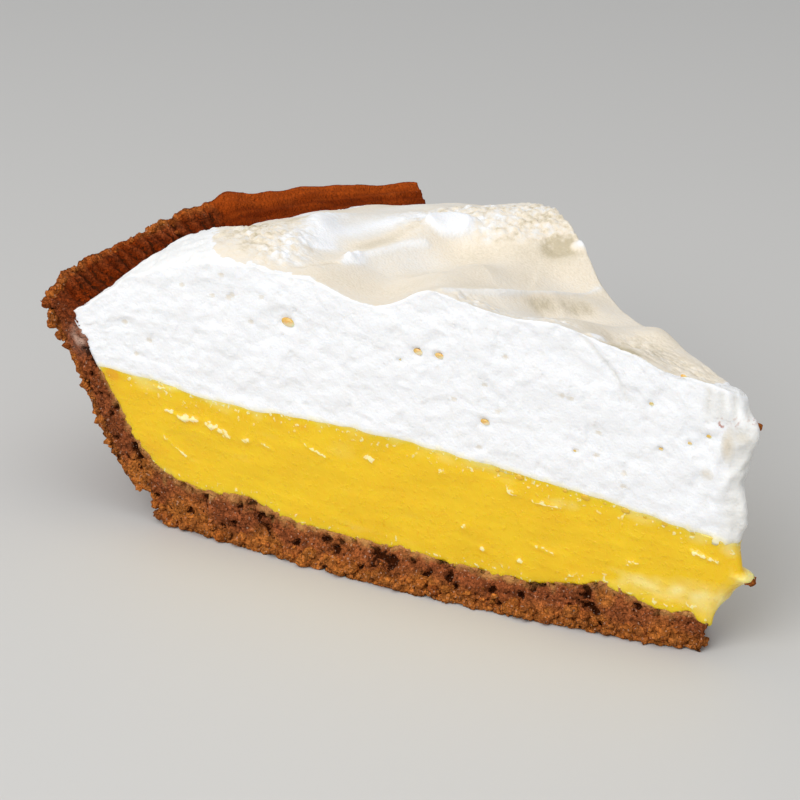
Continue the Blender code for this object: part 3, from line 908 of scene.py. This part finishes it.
def lemon_material():
    """Moist yellow filling, tinted by the mesh's pale values, with highlights painted where its glint
    values are.
    """
    material, tree, shader = new_material("lemon filling", 0.24, 0.32)
    place = object_place(tree)
    highlight_mask = reckoned(tree, "ADD", masked(tree, place, 1500.0, 0.30, 0.70, 1.5), tint(tree, "glint"))
    glint = ranged(tree, highlight_mask, 1.14, 1.36)
    more = ranged(tree, tint(tree, "pale"), 0.15, 1.4, 0.0, 0.9)
    less = ranged(tree, tint(tree, "pale"), 0.0, -1.5)
    colour = mixed(tree, masked(tree, place, 130.0, 0.30, 0.70), LEMON_YELLOW, LEMON_WARM)
    colour = mixed(tree, less, colour, LEMON_DEEP)
    colour = mixed(tree, more, colour, LEMON_PALE)
    colour = mixed(tree, ranged(tree, glint, 0.0, 1.0, 0.0, 0.85), colour, LEMON_GLINT)
    wet = masked(tree, place, 420.0, 0.40, 0.66)
    normal = bumped(tree, masked(tree, place, 600.0, 0.30, 0.80), 0.00020, 0.35)
    normal = bumped(tree, masked(tree, place, 1500.0, 0.55, 0.75), 0.00016, 0.5, normal)
    set_inputs(tree, shader, {
        "Base Color": colour, "Roughness": ranged(tree, wet, 0.0, 1.0, 0.40, 0.14),
        "Subsurface Weight": 0.45, "Subsurface Radius": (1.0, 0.6, 0.15),
        "Subsurface Scale": 0.0022, "Normal": normal})
    return material


bm = gridded_block(*LEMON_CELLS, lambda x, y, z: z in (0, 1) or x == 1)
tints = new_tints(bm, ("pale", "glint"))
shaped(bm, lemon_point, lemon_relief)
lemon = as_piece("set_lemon_filling", bm, lemon_material())
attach(lemon, "root")
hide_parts("lemon_filling")


# The whipped cream
# Thick cream spread over the lemon with a spatula, chilled until its top dried to a beige skin.
# The broken crests stayed white; the cuts are white too, with small dents and drag marks.
TOP_NEAR = [(0.0, 0.0396), (0.0075, 0.0409), (0.0135, 0.0415), (0.0195, 0.0432), (0.0300, 0.0453),
            (0.0370, 0.0450), (0.0450, 0.0458), (0.0520, 0.0466), (0.0600, 0.0463),
            (0.0720, 0.0455), (0.0840, 0.0453), (0.0940, 0.0424), (0.1020, 0.0378), (0.1099, 0.0324)]
TOP_FAR = [(0.0, 0.0362), (0.0065, 0.0384), (0.0105, 0.0382), (0.0205, 0.0388), (0.0350, 0.0383),
           (0.0460, 0.0392), (0.0535, 0.0446), (0.0620, 0.0469), (0.0715, 0.0450), (0.0815, 0.0417),
           (0.0960, 0.0373), (0.1099, 0.0324)]
# The cream's shoulder by the rim: how much it stands higher, from the -Y cut to the +Y cut, and
# the radii between which it rises and falls
CROWN = [(0.0, 0.0), (0.06, 0.0016), (0.12, 0.0025), (0.20, 0.0032), (0.28, 0.0026), (0.36, 0.0018),
         (0.45, 0.0014), (0.60, 0.0009), (0.80, 0.0006), (1.0, 0.0)]
CROWN_STARTS = (0.072, 0.086)
CROWN_ENDS = 0.098
CREAM_CELLS = (280, 154, 60)
CREAM_SINK = 0.0004
CREAM_DEPTH = 0.0008                # it reaches this far down into the lemon, where nothing shows
CREAM_THICK = 0.020                 # about how thick it is, for depths under its top
TOP_WAVES = 0.0005                  # its top goes up and down by so much, over this length
TOP_WAVELENGTH = 0.0075
BRUSH_DEPTH = 0.00005               # of the spatula's fine lines
TOP_LUMPS = [(0.0007, 0.0027, 2.0), (0.0005, 0.0013, 3.0)]      # height, size, seed
BUBBLE_DENTS = [(0.0027, 0.0022, 1.0), (0.0012, 0.0011, 0.6)]   # apart along and up, share of depth
DENT_DEPTH = 0.00015
BEAD_DENT = 0.0005                  # depth of the dent round a bead of syrup
FAINT_DENT = 0.00018
FAINT_REACH = (0.55, 0.55 / 1.3)    # of the faint dents, along and up, in millimetres
FLUTE_SPACING = 0.00198             # between the upright grooves by the tip
FIRST_FLUTE = 0.0038                # radius of the ridge that stands nearest to the tip
FLUTE_DEPTH = 0.00012
FLUTES_END = (0.0086, 0.0100)       # they fade out between these radii
FLUTES_FOOT = (0.0036, 0.0056)      # and between these depths under the top
TIP_LUMPS = 0.0006                  # height of the lumps round the tip
# Spatula strokes: points as radius, angle in degrees and height change; then the half width,
# how much whiter than the skin around it, how lumpy, and how steep its sides are
STROKES = [
    ([(0.059, 0, -0.0036), (0.063, 12, -0.004), (0.061, 24, -0.0046), (0.054, 33, -0.0026),
      (0.0465, 41, 0)], 0.0072, -0.06, -0.6, 2),
    ([(0.0503, 0, 0.0008), (0.0445, 13, 0.0013), (0.042, 24, 0.0012), (0.044, 40, 0.0006)],
     0.0028, 0, 0, 2),
    ([(0.04, 9, -0.0006), (0.0385, 18, -0.0016), (0.037, 27, -0.0014), (0.0345, 40, -0.0002)],
     0.0036, 0.12, 0, 2),
    ([(0.0695, 4, 0.0004), (0.069, 14, 0.0009), (0.069, 23, 0.0012)], 0.0026, 0.1, 0.2, 2),
    ([(0.0755, 4, 0.0006), (0.0805, 14, 0.0011), (0.087, 22, 0.0002)], 0.003, 0.6, 0.4, 2),
    ([(0.0725, 26, 0.0014), (0.0715, 32, 0.001), (0.066, 39, 0.0006)], 0.006, 0.12, 1, 2),
    ([(0.067, 29.5, 0), (0.065, 34, 0), (0.0615, 39, 0)], 0.0034, 0, 0.8, 2),
    # the scoop's lower side, darkened by painted shade
    ([(0.0632, 25.5, 0), (0.0605, 29, -0.0002), (0.0575, 32, 0)], 0.004, -0.36, 0.1, 2),
    ([(0.0275, 38, 0.0012), (0.029, 41, 0.0012)], 0.0036, 0, 0, 2),
    ([(0.025, 18, -0.0014), (0.0225, 27, -0.0008), (0.015, 24, -0.0005)], 0.0034, -0.2, 0, 2),
    ([(0.087, 6, -0.0008), (0.09, 14, -0.0012)], 0.0045, 0, 0.4, 2),
    # the sharp crest over the second trough, and the trough's two darker places, which are painted
    # shade
    ([(0.0485, 2, 0.0003), (0.044, 11, 0.0006), (0.043, 25, 0.0006), (0.0464, 40, 0.0003)],
     0.0006, 0.6, 0, 2),
    ([(0.0414, 19, -0.0003), (0.0412, 22, -0.0003)], 0.0016, -0.6, 0.2, 2),
    ([(0.0403, 27, -0.0003), (0.04, 31, -0.0003)], 0.0017, -0.6, 0.2, 2),
    # the white lump with its steep side, the lip that leads to it and the lip's own small lump
    ([(0.0686, 26.1, 0.0011), (0.068, 27.9, 0.0009)], 0.0027, 1.5, -1.2, 8),
    ([(0.066, 28, 0.0003), (0.0655, 32, 0.0002)], 0.0027, 0.5, -0.2, 2),
    ([(0.0706, 14.6, -0.0003), (0.07, 18.6, -0.0005), (0.0702, 21.8, -0.0003)], 0.002, -0.5, 0, 2),
    ([(0.069, 9.9, 0.0007), (0.0691, 11, 0.0006)], 0.0012, 1.5, 0, 3),
    ([(0.0689, 8, 0.0003), (0.069, 9.6, 0.0005)], 0.0006, 0.9, 0, 2),
    ([(0.0692, 11.8, 0.0003), (0.0681, 15.4, 0.0003), (0.0676, 18.7, 0.0003), (0.0664, 21.6, 0.0003)],
     0.0006, 0.6, 0, 2),
    ([(0.0722, 2.8, -0.0002), (0.0697, 7, -0.0002)], 0.0005, -0.3, 0, 2),
    # the mound's lumpy foot, its small white lump and the hollow beside that, dark with painted shade
    ([(0.062, 30, 0.0003), (0.0585, 35, 0.0004), (0.056, 40, 0.0004)], 0.0026, 0.2, 0.8, 2),
    ([(0.0556, 37.3, -0.0011), (0.0548, 39.2, -0.0009)], 0.0019, -1.4, 0, 2),
    ([(0.0541, 40, 0.0006), (0.0538, 41, 0.0006)], 0.001, 1.4, 0, 4),
    # the soft white slope, the smooth white place beside it and the mottled place by the rim
    ([(0.085, 17.6, 0.0004), (0.078, 13.8, 0.0005), (0.0745, 11, 0.0002)], 0.002, 0.8, -0.2, 2),
    ([(0.0768, 16.5, 0), (0.0762, 20, 0), (0.0738, 25, 0)], 0.0034, 0.8, -0.2, 2),
    ([(0.079, 5, 0), (0.085, 9, 0), (0.093, 15, 0)], 0.005, -0.08, 0.9, 2),
    ([(0.0756, 8.8, 0.0002), (0.0752, 10.4, 0.0002)], 0.0014, 0.8, 0.2, 2),
    ([(0.086, 13, 0), (0.0925, 21, 0)], 0.0022, -0.35, 0, 2),
    ([(0.079, 22, 0), (0.086, 30, 0), (0.093, 38, 0)], 0.006, 0.35, 0, 2),
    # the grainy band by the near cut, the hollow and the bump near the tip; the hollow is darkened by
    # painted shade
    ([(0.046, 3, 0.0002), (0.039, 4.5, 0.0002), (0.031, 6, 0.0002)], 0.0016, 0.26, 0.8, 2),
    ([(0.02, 1, -0.0002), (0.023, 4, -0.0006)], 0.0016, -0.9, 0.3, 2),
    ([(0.0258, 3.5, 0.0004), (0.0252, 5, 0.0004)], 0.0008, 0.9, 0, 4),
    ([(0.023, 20, 0.0002), (0.012, 20, 0.0002)], 0.005, 0, 0.5, 2),
    # the paler bottom of the scoop
    ([(0.0668, 14, 0), (0.065, 19, 0), (0.0632, 23, 0)], 0.0042, 0.34, -0.4, 2),
]
# Small dents in the near cut with a bead of amber syrup: radius, height, size in millimetres
BEADS = [
    (72.7, 37.6, 1.9), (51.8, 37.0, 1.3), (48.5, 37.0, 1.2), (54.6, 35.3, 0.6), (41.1, 28.3, 1.2),
    (16.7, 36.1, 0.8), (12.5, 41.0, 0.8), (27.4, 26.7, 0.5),
    (8.3, 33.0, 0.7), (10.9, 31.4, 0.6), (73.4, 35.6, 0.4), (71.4, 39.9, 0.5), (14.9, 29.7, 0.6),
]
# A faint line that the knife left in the near cut, greyed with painted shade: points as radius and
# height in millimetres
CUT_LINE = [(27.5, 44.3), (25.5, 42.8), (23.5, 40.8), (21.9, 39.2), (21.0, 37.8), (20.3, 36.1)]
# Ochre places in the near cut by the tip: radius, height, reach along and up in millimetres, amount
STAINS = [(5.4, 32.4, 0.9, 2.4, 0.75), (3.6, 34.0, 1.2, 0.8, 0.7), (8.0, 27.6, 1.0, 0.9, 0.4)]
# Faint yellowish dents elsewhere in the near cut: radius and height in millimetres
FAINT_DENTS = [(90.4, 40.4), (85.3, 39.6), (96.3, 30.4), (98.7, 27.7), (78.8, 36.7), (76.9, 40.9),
               (100.5, 32.6), (45.9, 31.0), (41.4, 34.0), (38.4, 38.9), (29.6, 34.9), (28.3, 34.6),
               (39.1, 30.4), (24.1, 30.3), (27.2, 26.9), (24.1, 26.9), (19.8, 25.1), (19.8, 23.1),
               (41.8, 24.3), (83.6, 43.2), (82.5, 39.8), (82.0, 40.2)]
# Brown specks under the grooves: radius and height; then their reach, all in millimetres
SPECKLED = [(6.6, 35.5), (4.7, 35.9), (2.8, 36.5)]
SPECKLED_REACH = (0.55, 0.95)
# The cream is white from these radii on, from one cut to the other, and again at the tip
WHITE_BY_RIM = [(0.0, 0.0838), (0.04, 0.0862), (0.24, 0.0950), (0.30, 0.1000), (0.50, 0.1062),
                (1.0, 0.1072)]
WHITE_TIP = (0.0080, 0.0102)
CREAM_WHITE = (0.886, 0.890, 0.902, 1.0)
CREAM_SHADE = (0.740, 0.725, 0.680, 1.0)
SPECK_BROWN = (0.430, 0.130, 0.080, 1.0)
SKIN_PALE = (0.790, 0.752, 0.690, 1.0)
SKIN_BEIGE = (0.800, 0.712, 0.578, 1.0)
SKIN_DEEP = (0.540, 0.465, 0.325, 1.0)


def stroke_effects(place):
    """What the spatula strokes do at a place in plan: height change, whiteness and lumpiness."""
    change, white, lumpy = 0.0, 0.0, 0.0
    for spots, half_width, whiteness, lumpiness, steepness in STROKE_LINES:
        nearest, value = 1.0, 0.0
        for (a, high_a), (b, high_b) in zip(spots, spots[1:]):
            t = held((place - a).dot(b - a) / (b - a).length_squared)
            distance = (place - a.lerp(b, t)).length
            if distance < nearest:
                nearest, value = distance, high_a + (high_b - high_a) * t
        if nearest < 2.6 * half_width:
            nearness = math.exp(-(nearest / half_width) ** steepness)
            change += value * nearness
            white += whiteness * nearness
            lumpy += lumpiness * nearness
    return change, white, held(lumpy)


STROKE_LINES = [
    ([(in_plan(r, math.radians(a) / SLICE_ANGLE), h) for r, a, h in path], *rest)
    for path, *rest in STROKES]


@functools.lru_cache(maxsize=None)
def cream_top(radius, turn):
    """Height of the cream's swirled top."""
    place = in_plan(radius, turn)
    change, _, lumpy = stroke_effects(place)
    height = keyed(TOP_NEAR, radius) * (1 - turn) + keyed(TOP_FAR, radius) * turn
    by_rim = smooth_step(CROWN_ENDS, EDGE[1], radius)
    height += keyed(CROWN, turn) * smooth_step(*CROWN_STARTS, radius) * (1 - by_rim) + change
    height += TOP_WAVES * noise.noise(place / TOP_WAVELENGTH)
    height += (lifted(EDGE[0], turn, EDGE_RISE) - EDGE[0]) * by_rim
    arc = radius * turn * SLICE_ANGLE
    height += BRUSH_DEPTH * noise.noise(Vector((radius / 0.0012, arc / 0.014, 2.0))) * (1 - lumpy)
    for high, size, seed in TOP_LUMPS:
        height += high * lumpy * (grain(place, size, seed) - 0.6)
    return height


def cream_point(u, turn, w):
    """A point of the whipped cream: w runs from the lemon's top to the swirled top."""
    return filling_point(
        u, turn, w,
        lambda radius: lemon_surface(radius, turn) - CREAM_DEPTH,
        lambda radius: cream_top(radius, turn),
        (keyed(TIP, LEMON_TOP[0][1]), LEMON_TOP[-1][0]), (TIP[-1][1], EDGE[1]), CREAM_SINK)


def cut_dents(flat):
    """Small dents of a cut, where an air bubble broke, about -1 to 0."""
    dents = 0.0
    for length, rise, deep in BUBBLE_DENTS:
        spot = Vector((flat.x / length, flat.y / rise, flat.z * 100 + length * 1000))
        near, points = noise.voronoi(spot)
        size = 0.10 + 0.26 * noise.cell(points[0] * 7.1)
        dents -= deep * fading(0.35 * size, size, near[0])
    return dents


def flutes(place, radius, below):
    """Upright grooves in the near cut by the tip, lumps round the tip, and how much shade is painted on
    them.
    """
    across = (place - in_plan(0, 0.0)).xy.length - 0.55 * (place.y - in_plan(radius, 0.0).y)
    sway = noise.noise(Vector((radius / 0.004, place.z / 0.005, 3.0)))
    grooves = math.cos(math.tau * (across - FIRST_FLUTE) / FLUTE_SPACING + 0.15 * sway)
    amount = fading(*FLUTES_END, radius) * fading(*FLUTES_FOOT, below)
    amount *= smooth_step(0.0001, 0.0010, below)
    lumps = noise.noise(place / 0.0030 + Vector((6, 6, 6))) + 0.5 * noise.noise(place / 0.0013)
    lumpy = fading(0.006, 0.012, radius) * smooth_step(0.002, 0.006, below)
    shade = amount * (0.45 + 0.30 * max(-grooves, 0.0))
    return FLUTE_DEPTH * grooves * amount + TIP_LUMPS * lumps * lumpy, shade


def cream_relief(vert, u, turn, w):
    """How far the cream stands in or out, how dried its skin is, how lumpy, how far inland, and how
    much shade is painted on it.
    """
    place = vert.co
    radius = radius_of(place)
    below = (1 - w) * CREAM_THICK
    on_top = w == 1.0
    near = turn == 0.0 or u == 0.0
    skin, lumpy, inland, height, specks, painted_shade, stained = 0.0, 0.0, -3.0, 0.0, 0.0, 0.0, 0.0
    point = Vector((radius * 1000, place.z * 1000))
    if (near or turn == 1.0) and not on_top:
        flat = Vector((radius, place.z, 0.01 + 0.05 * round(turn)))
        over = place.z - lemon_surface(radius, turn)
        clear = smooth_step(-0.0002, 0.0012, over)
        height = DENT_DEPTH * cut_dents(flat) * smooth_step(0.006, 0.011, radius) * clear
        height += 0.00008 * noise.noise(place / 0.0016) * clear + waviness(place)
        height += 0.00004 * noise.noise(place / 0.0008) * clear
        height -= 0.00014 * fading(-0.0010, 0.0005, over) - 0.00004
        over += 0.0004 * noise.noise(place / 0.0009)
        stained = 0.60 * fading(-0.0004, 0.0008, over)
        if turn == 0.0:
            for *spot, size in BEADS:
                height -= BEAD_DENT * fading(0.2, 0.9, apart(radius, place.z, spot, size))
            # the knife's line is a shallow groove, greyed with painted shade
            for first, last in zip(CUT_LINE, CUT_LINE[1:]):
                nearness = bell(line_distance(point, Vector(first), Vector(last)) / 0.35)
                height -= 0.00022 * nearness
                painted_shade = max(painted_shade, 0.45 * nearness)
    if radius < 0.0150 and not on_top:
        relief, shade = flutes(place, radius, below)
        height += relief
        # painted shade: the tip's end and its grooves are greyed, as they face away from the light
        end = fading(0.0038, 0.0070, radius) * (1 - 0.8 * smooth_step(0.0350, 0.0372, place.z))
        painted_shade = max(painted_shade, shade, 0.70 * end)
    if on_top:
        _, white, lumpy = stroke_effects(Vector((place.x, place.y, 0.0)))
        skin = 0.58 - 0.55 * white + 0.10 * noise.noise(place / 0.006)
        arc = turn * SLICE_ANGLE * radius
        ragged = max(0.5 + noise.noise(place / 0.0024) + 0.5 * noise.noise(place / 0.0011), 0.0)
        from_cut = arc - 0.0013 * ragged * smooth_step(0.064, 0.076, radius)
        from_rim = keyed(WHITE_BY_RIM, turn) - radius + 0.0018 * noise.noise(place / 0.0030)
        from_tip = radius - WHITE_TIP[0] - (WHITE_TIP[1] - WHITE_TIP[0]) * turn
        inland = 1000 * min(from_cut, from_rim, from_tip)
        white_part = fading(-1.0, 0.5, inland)
        dents = cut_dents(Vector((radius, arc, 0.3)))
        height = (0.00015 * noise.noise(place / 0.0015) + 0.00022 * dents) * white_part
        # painted shade greys the white part of the top, which is lit from above
        painted_shade = 0.45 * white_part
    elif near:
        inland = -1000 * below
        marks = [(bell(apart(radius, place.z, spot, reach, rise)), amount, 0.0)
                 for *spot, reach, rise, amount in STAINS]
        marks += [(bell(apart(radius, place.z, spot, *FAINT_REACH)), 0.54, FAINT_DENT)
                  for spot in FAINT_DENTS]
        for nearness, amount, depth in marks:
            if nearness > 0.018:
                height -= depth * nearness
                skin = max(skin, amount * nearness)
                inland = max(inland, 4 * smooth_step(0.05, 0.3, nearness) - 3)
        for spot in SPECKLED:
            specks = max(specks, bell(apart(radius, place.z, spot, *SPECKLED_REACH) ** 2))
    elif turn == 1.0:
        inland = 3.0 - 9000 * below
    vert[tints["skin"]] = held(skin)
    vert[tints["lumpy"]] = lumpy
    vert[tints["inland"]] = held(inland, -3.0, 3.0)
    vert[tints["specks"]] = specks
    vert[tints["painted_shade"]] = painted_shade
    vert[tints["stained"]] = stained
    return height


def cream_material():
    """White cream; its dried skin starts at a ragged line, and is speckled where it is lumpy; painted
    shade greys its pits, its grooves and the tip.
    """
    material, tree, shader = new_material("whipped cream", 0.62, 0.3)
    place = object_place(tree)
    speckle = ranged(tree, masked(tree, place, 700.0, 0.30, 0.70), 0.0, 1.0, -0.42, 0.40)
    speckle = reckoned(tree, "MULTIPLY", speckle, tint(tree, "lumpy"))
    fine = ranged(tree, masked(tree, place, 2200.0, 0.25, 0.75), 0.0, 1.0, -0.07, 0.07)
    skin = reckoned(tree, "ADD", reckoned(tree, "ADD", speckle, fine), tint(tree, "skin"))
    ragged = ranged(tree, masked(tree, place, 900.0, 0.25, 0.75), 0.0, 1.0, -0.55, 0.45)
    ragged = reckoned(tree, "ADD", ragged, tint(tree, "inland"))
    skin = reckoned(tree, "MULTIPLY", skin, ranged(tree, ragged, 0.10, 0.50))
    steps = add_node(tree, "ValToRGB", {"Fac": skin})
    ramp = steps.color_ramp
    ramp.elements[0].color = CREAM_WHITE
    ramp.elements[1].color = SKIN_DEEP
    ramp.elements.new(0.35).color = SKIN_PALE
    ramp.elements.new(0.62).color = SKIN_BEIGE
    specks = masked(tree, place, 1900.0, 0.50, 0.62, 1.0)
    specks = reckoned(tree, "MULTIPLY", specks, tint(tree, "specks"))
    colour = mixed(tree, specks, steps.outputs["Color"], SPECK_BROWN)
    # painted shade: the tip, its grooves, the knife's line and the white top are greyed
    colour = mixed(tree, tint(tree, "painted_shade"), colour, CREAM_SHADE)
    colour = mixed(tree, tint(tree, "stained"), colour, LEMON_PALE)
    # painted shade in the small pits of the white cream, which are bumped in as well
    white_only = ranged(tree, tint(tree, "inland"), -0.5, 0.3, 1.0, 0.0)
    shaded_pits = reckoned(tree, "MULTIPLY", masked(tree, place, 900.0, 0.60, 0.84, 1.0), white_only)
    colour = mixed(tree, ranged(tree, shaded_pits, 0.0, 1.0, 0.0, 0.32), colour, CREAM_SHADE)
    normal = bumped(tree, masked(tree, place, 950.0, 0.2, 0.8, 1.5), 0.00011, 0.32)
    normal = bumped(tree, masked(tree, place, 2600.0, 0.3, 0.7, 1.0), 0.00007, 0.5, normal)
    normal = bumped(tree, ranged(tree, shaded_pits, 0.0, 1.0, 1.0, 0.0), 0.00020, 0.35, normal)
    set_inputs(tree, shader, {
        "Base Color": colour, "Subsurface Weight": 0.35, "Subsurface Radius": (1.0, 0.9, 0.8),
        "Subsurface Scale": 0.0012, "Normal": normal})
    return material


bm = gridded_block(*CREAM_CELLS, lambda x, y, z: z == 0 or x == 1)
tints = new_tints(bm, ("skin", "lumpy", "inland", "specks", "painted_shade", "stained"))
shaped(bm, cream_point, cream_relief)
cream = as_piece("swirled_whipped_cream", bm, cream_material())
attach(cream, "root")
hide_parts("whipped_cream")


# Beads of syrup and bubbles
# Amber beads have wept into small dents of the cut cream, and small bubbles burst where the
# lemon and the cream meet. They are moist and clear; painted light pales each bead from its left to its
# right.
BUBBLES = [(35.4, 21.0, 1.1), (31.5, 20.7, 1.1), (25.3, 20.1, 1.2), (19.3, 19.4, 1.2),
           (13.4, 18.7, 1.1), (70.6, 22.2, 1.0), (28.4, 20.4, 0.6), (22.4, 19.8, 0.6),
           (16.4, 19.1, 0.6), (38.8, 21.3, 0.6), (9.4, 18.2, 0.8), (44.0, 21.7, 0.5),
           (63.0, 22.4, 0.6)]
SYRUP_PALE = (0.870, 0.760, 0.520, 1.0)
SYRUP_AMBER = (0.740, 0.450, 0.110, 1.0)
SYRUP_DEEP = (0.770, 0.450, 0.028, 1.0)
BEAD_TILT = math.radians(12)


def beads_at(bm, spots, flat, proud, deep):
    """Flattened beads on the near cut, at (radius, height, size) spots in millimetres."""
    for radius, height, size in spots:
        verts = bmesh.ops.create_icosphere(bm, subdivisions=3, radius=size / 2000)["verts"]
        for vert in verts:
            vert[tints["deep"]] = deep
            # painted light: the bead is paler towards one side
            vert[tints["side"]] = smooth_step(-0.5, 0.7, (vert.co.x - vert.co.z) * 1400 / size)
        bmesh.ops.scale(bm, verts=verts, vec=(1.2, flat, 0.72))
        bmesh.ops.rotate(bm, verts=verts, matrix=Matrix.Rotation(BEAD_TILT, 3, "Y"))
        bmesh.ops.rotate(bm, verts=verts, matrix=Matrix.Rotation(SLICE_ANGLE / 2, 3, "Z"))
        bmesh.ops.translate(bm, verts=verts, vec=on_near_cut(radius / 1000, height / 1000, proud))


def syrup_material():
    """Clear amber syrup, tinted by the mesh's deep values; painted light pales it towards one side by
    the mesh's side values.
    """
    material, tree, shader = new_material("lemon syrup", 0.12, 0.5)
    clouds = masked(tree, object_place(tree), 900.0, 0.35, 0.65)
    clouds = reckoned(tree, "ADD", ranged(tree, clouds, 0.0, 1.0, -0.25, 0.25), tint(tree, "side"))
    amber = mixed(tree, clouds, SYRUP_AMBER, SYRUP_PALE)
    amber = mixed(tree, tint(tree, "deep"), amber, SYRUP_DEEP)
    set_inputs(tree, shader, {
        "Base Color": amber, "Subsurface Weight": 0.3, "Subsurface Scale": 0.001})
    return material


bm = bmesh.new()
tints = new_tints(bm, ("deep", "side"))
beads_at(bm, BEADS, flat=0.35, proud=-0.0004, deep=0.0)
beads_at(bm, BUBBLES, flat=0.30, proud=-0.0001, deep=1.0)
beads = as_piece("syrup_beads", bm, syrup_material())
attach(beads, "root")
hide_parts("lemon_filling")
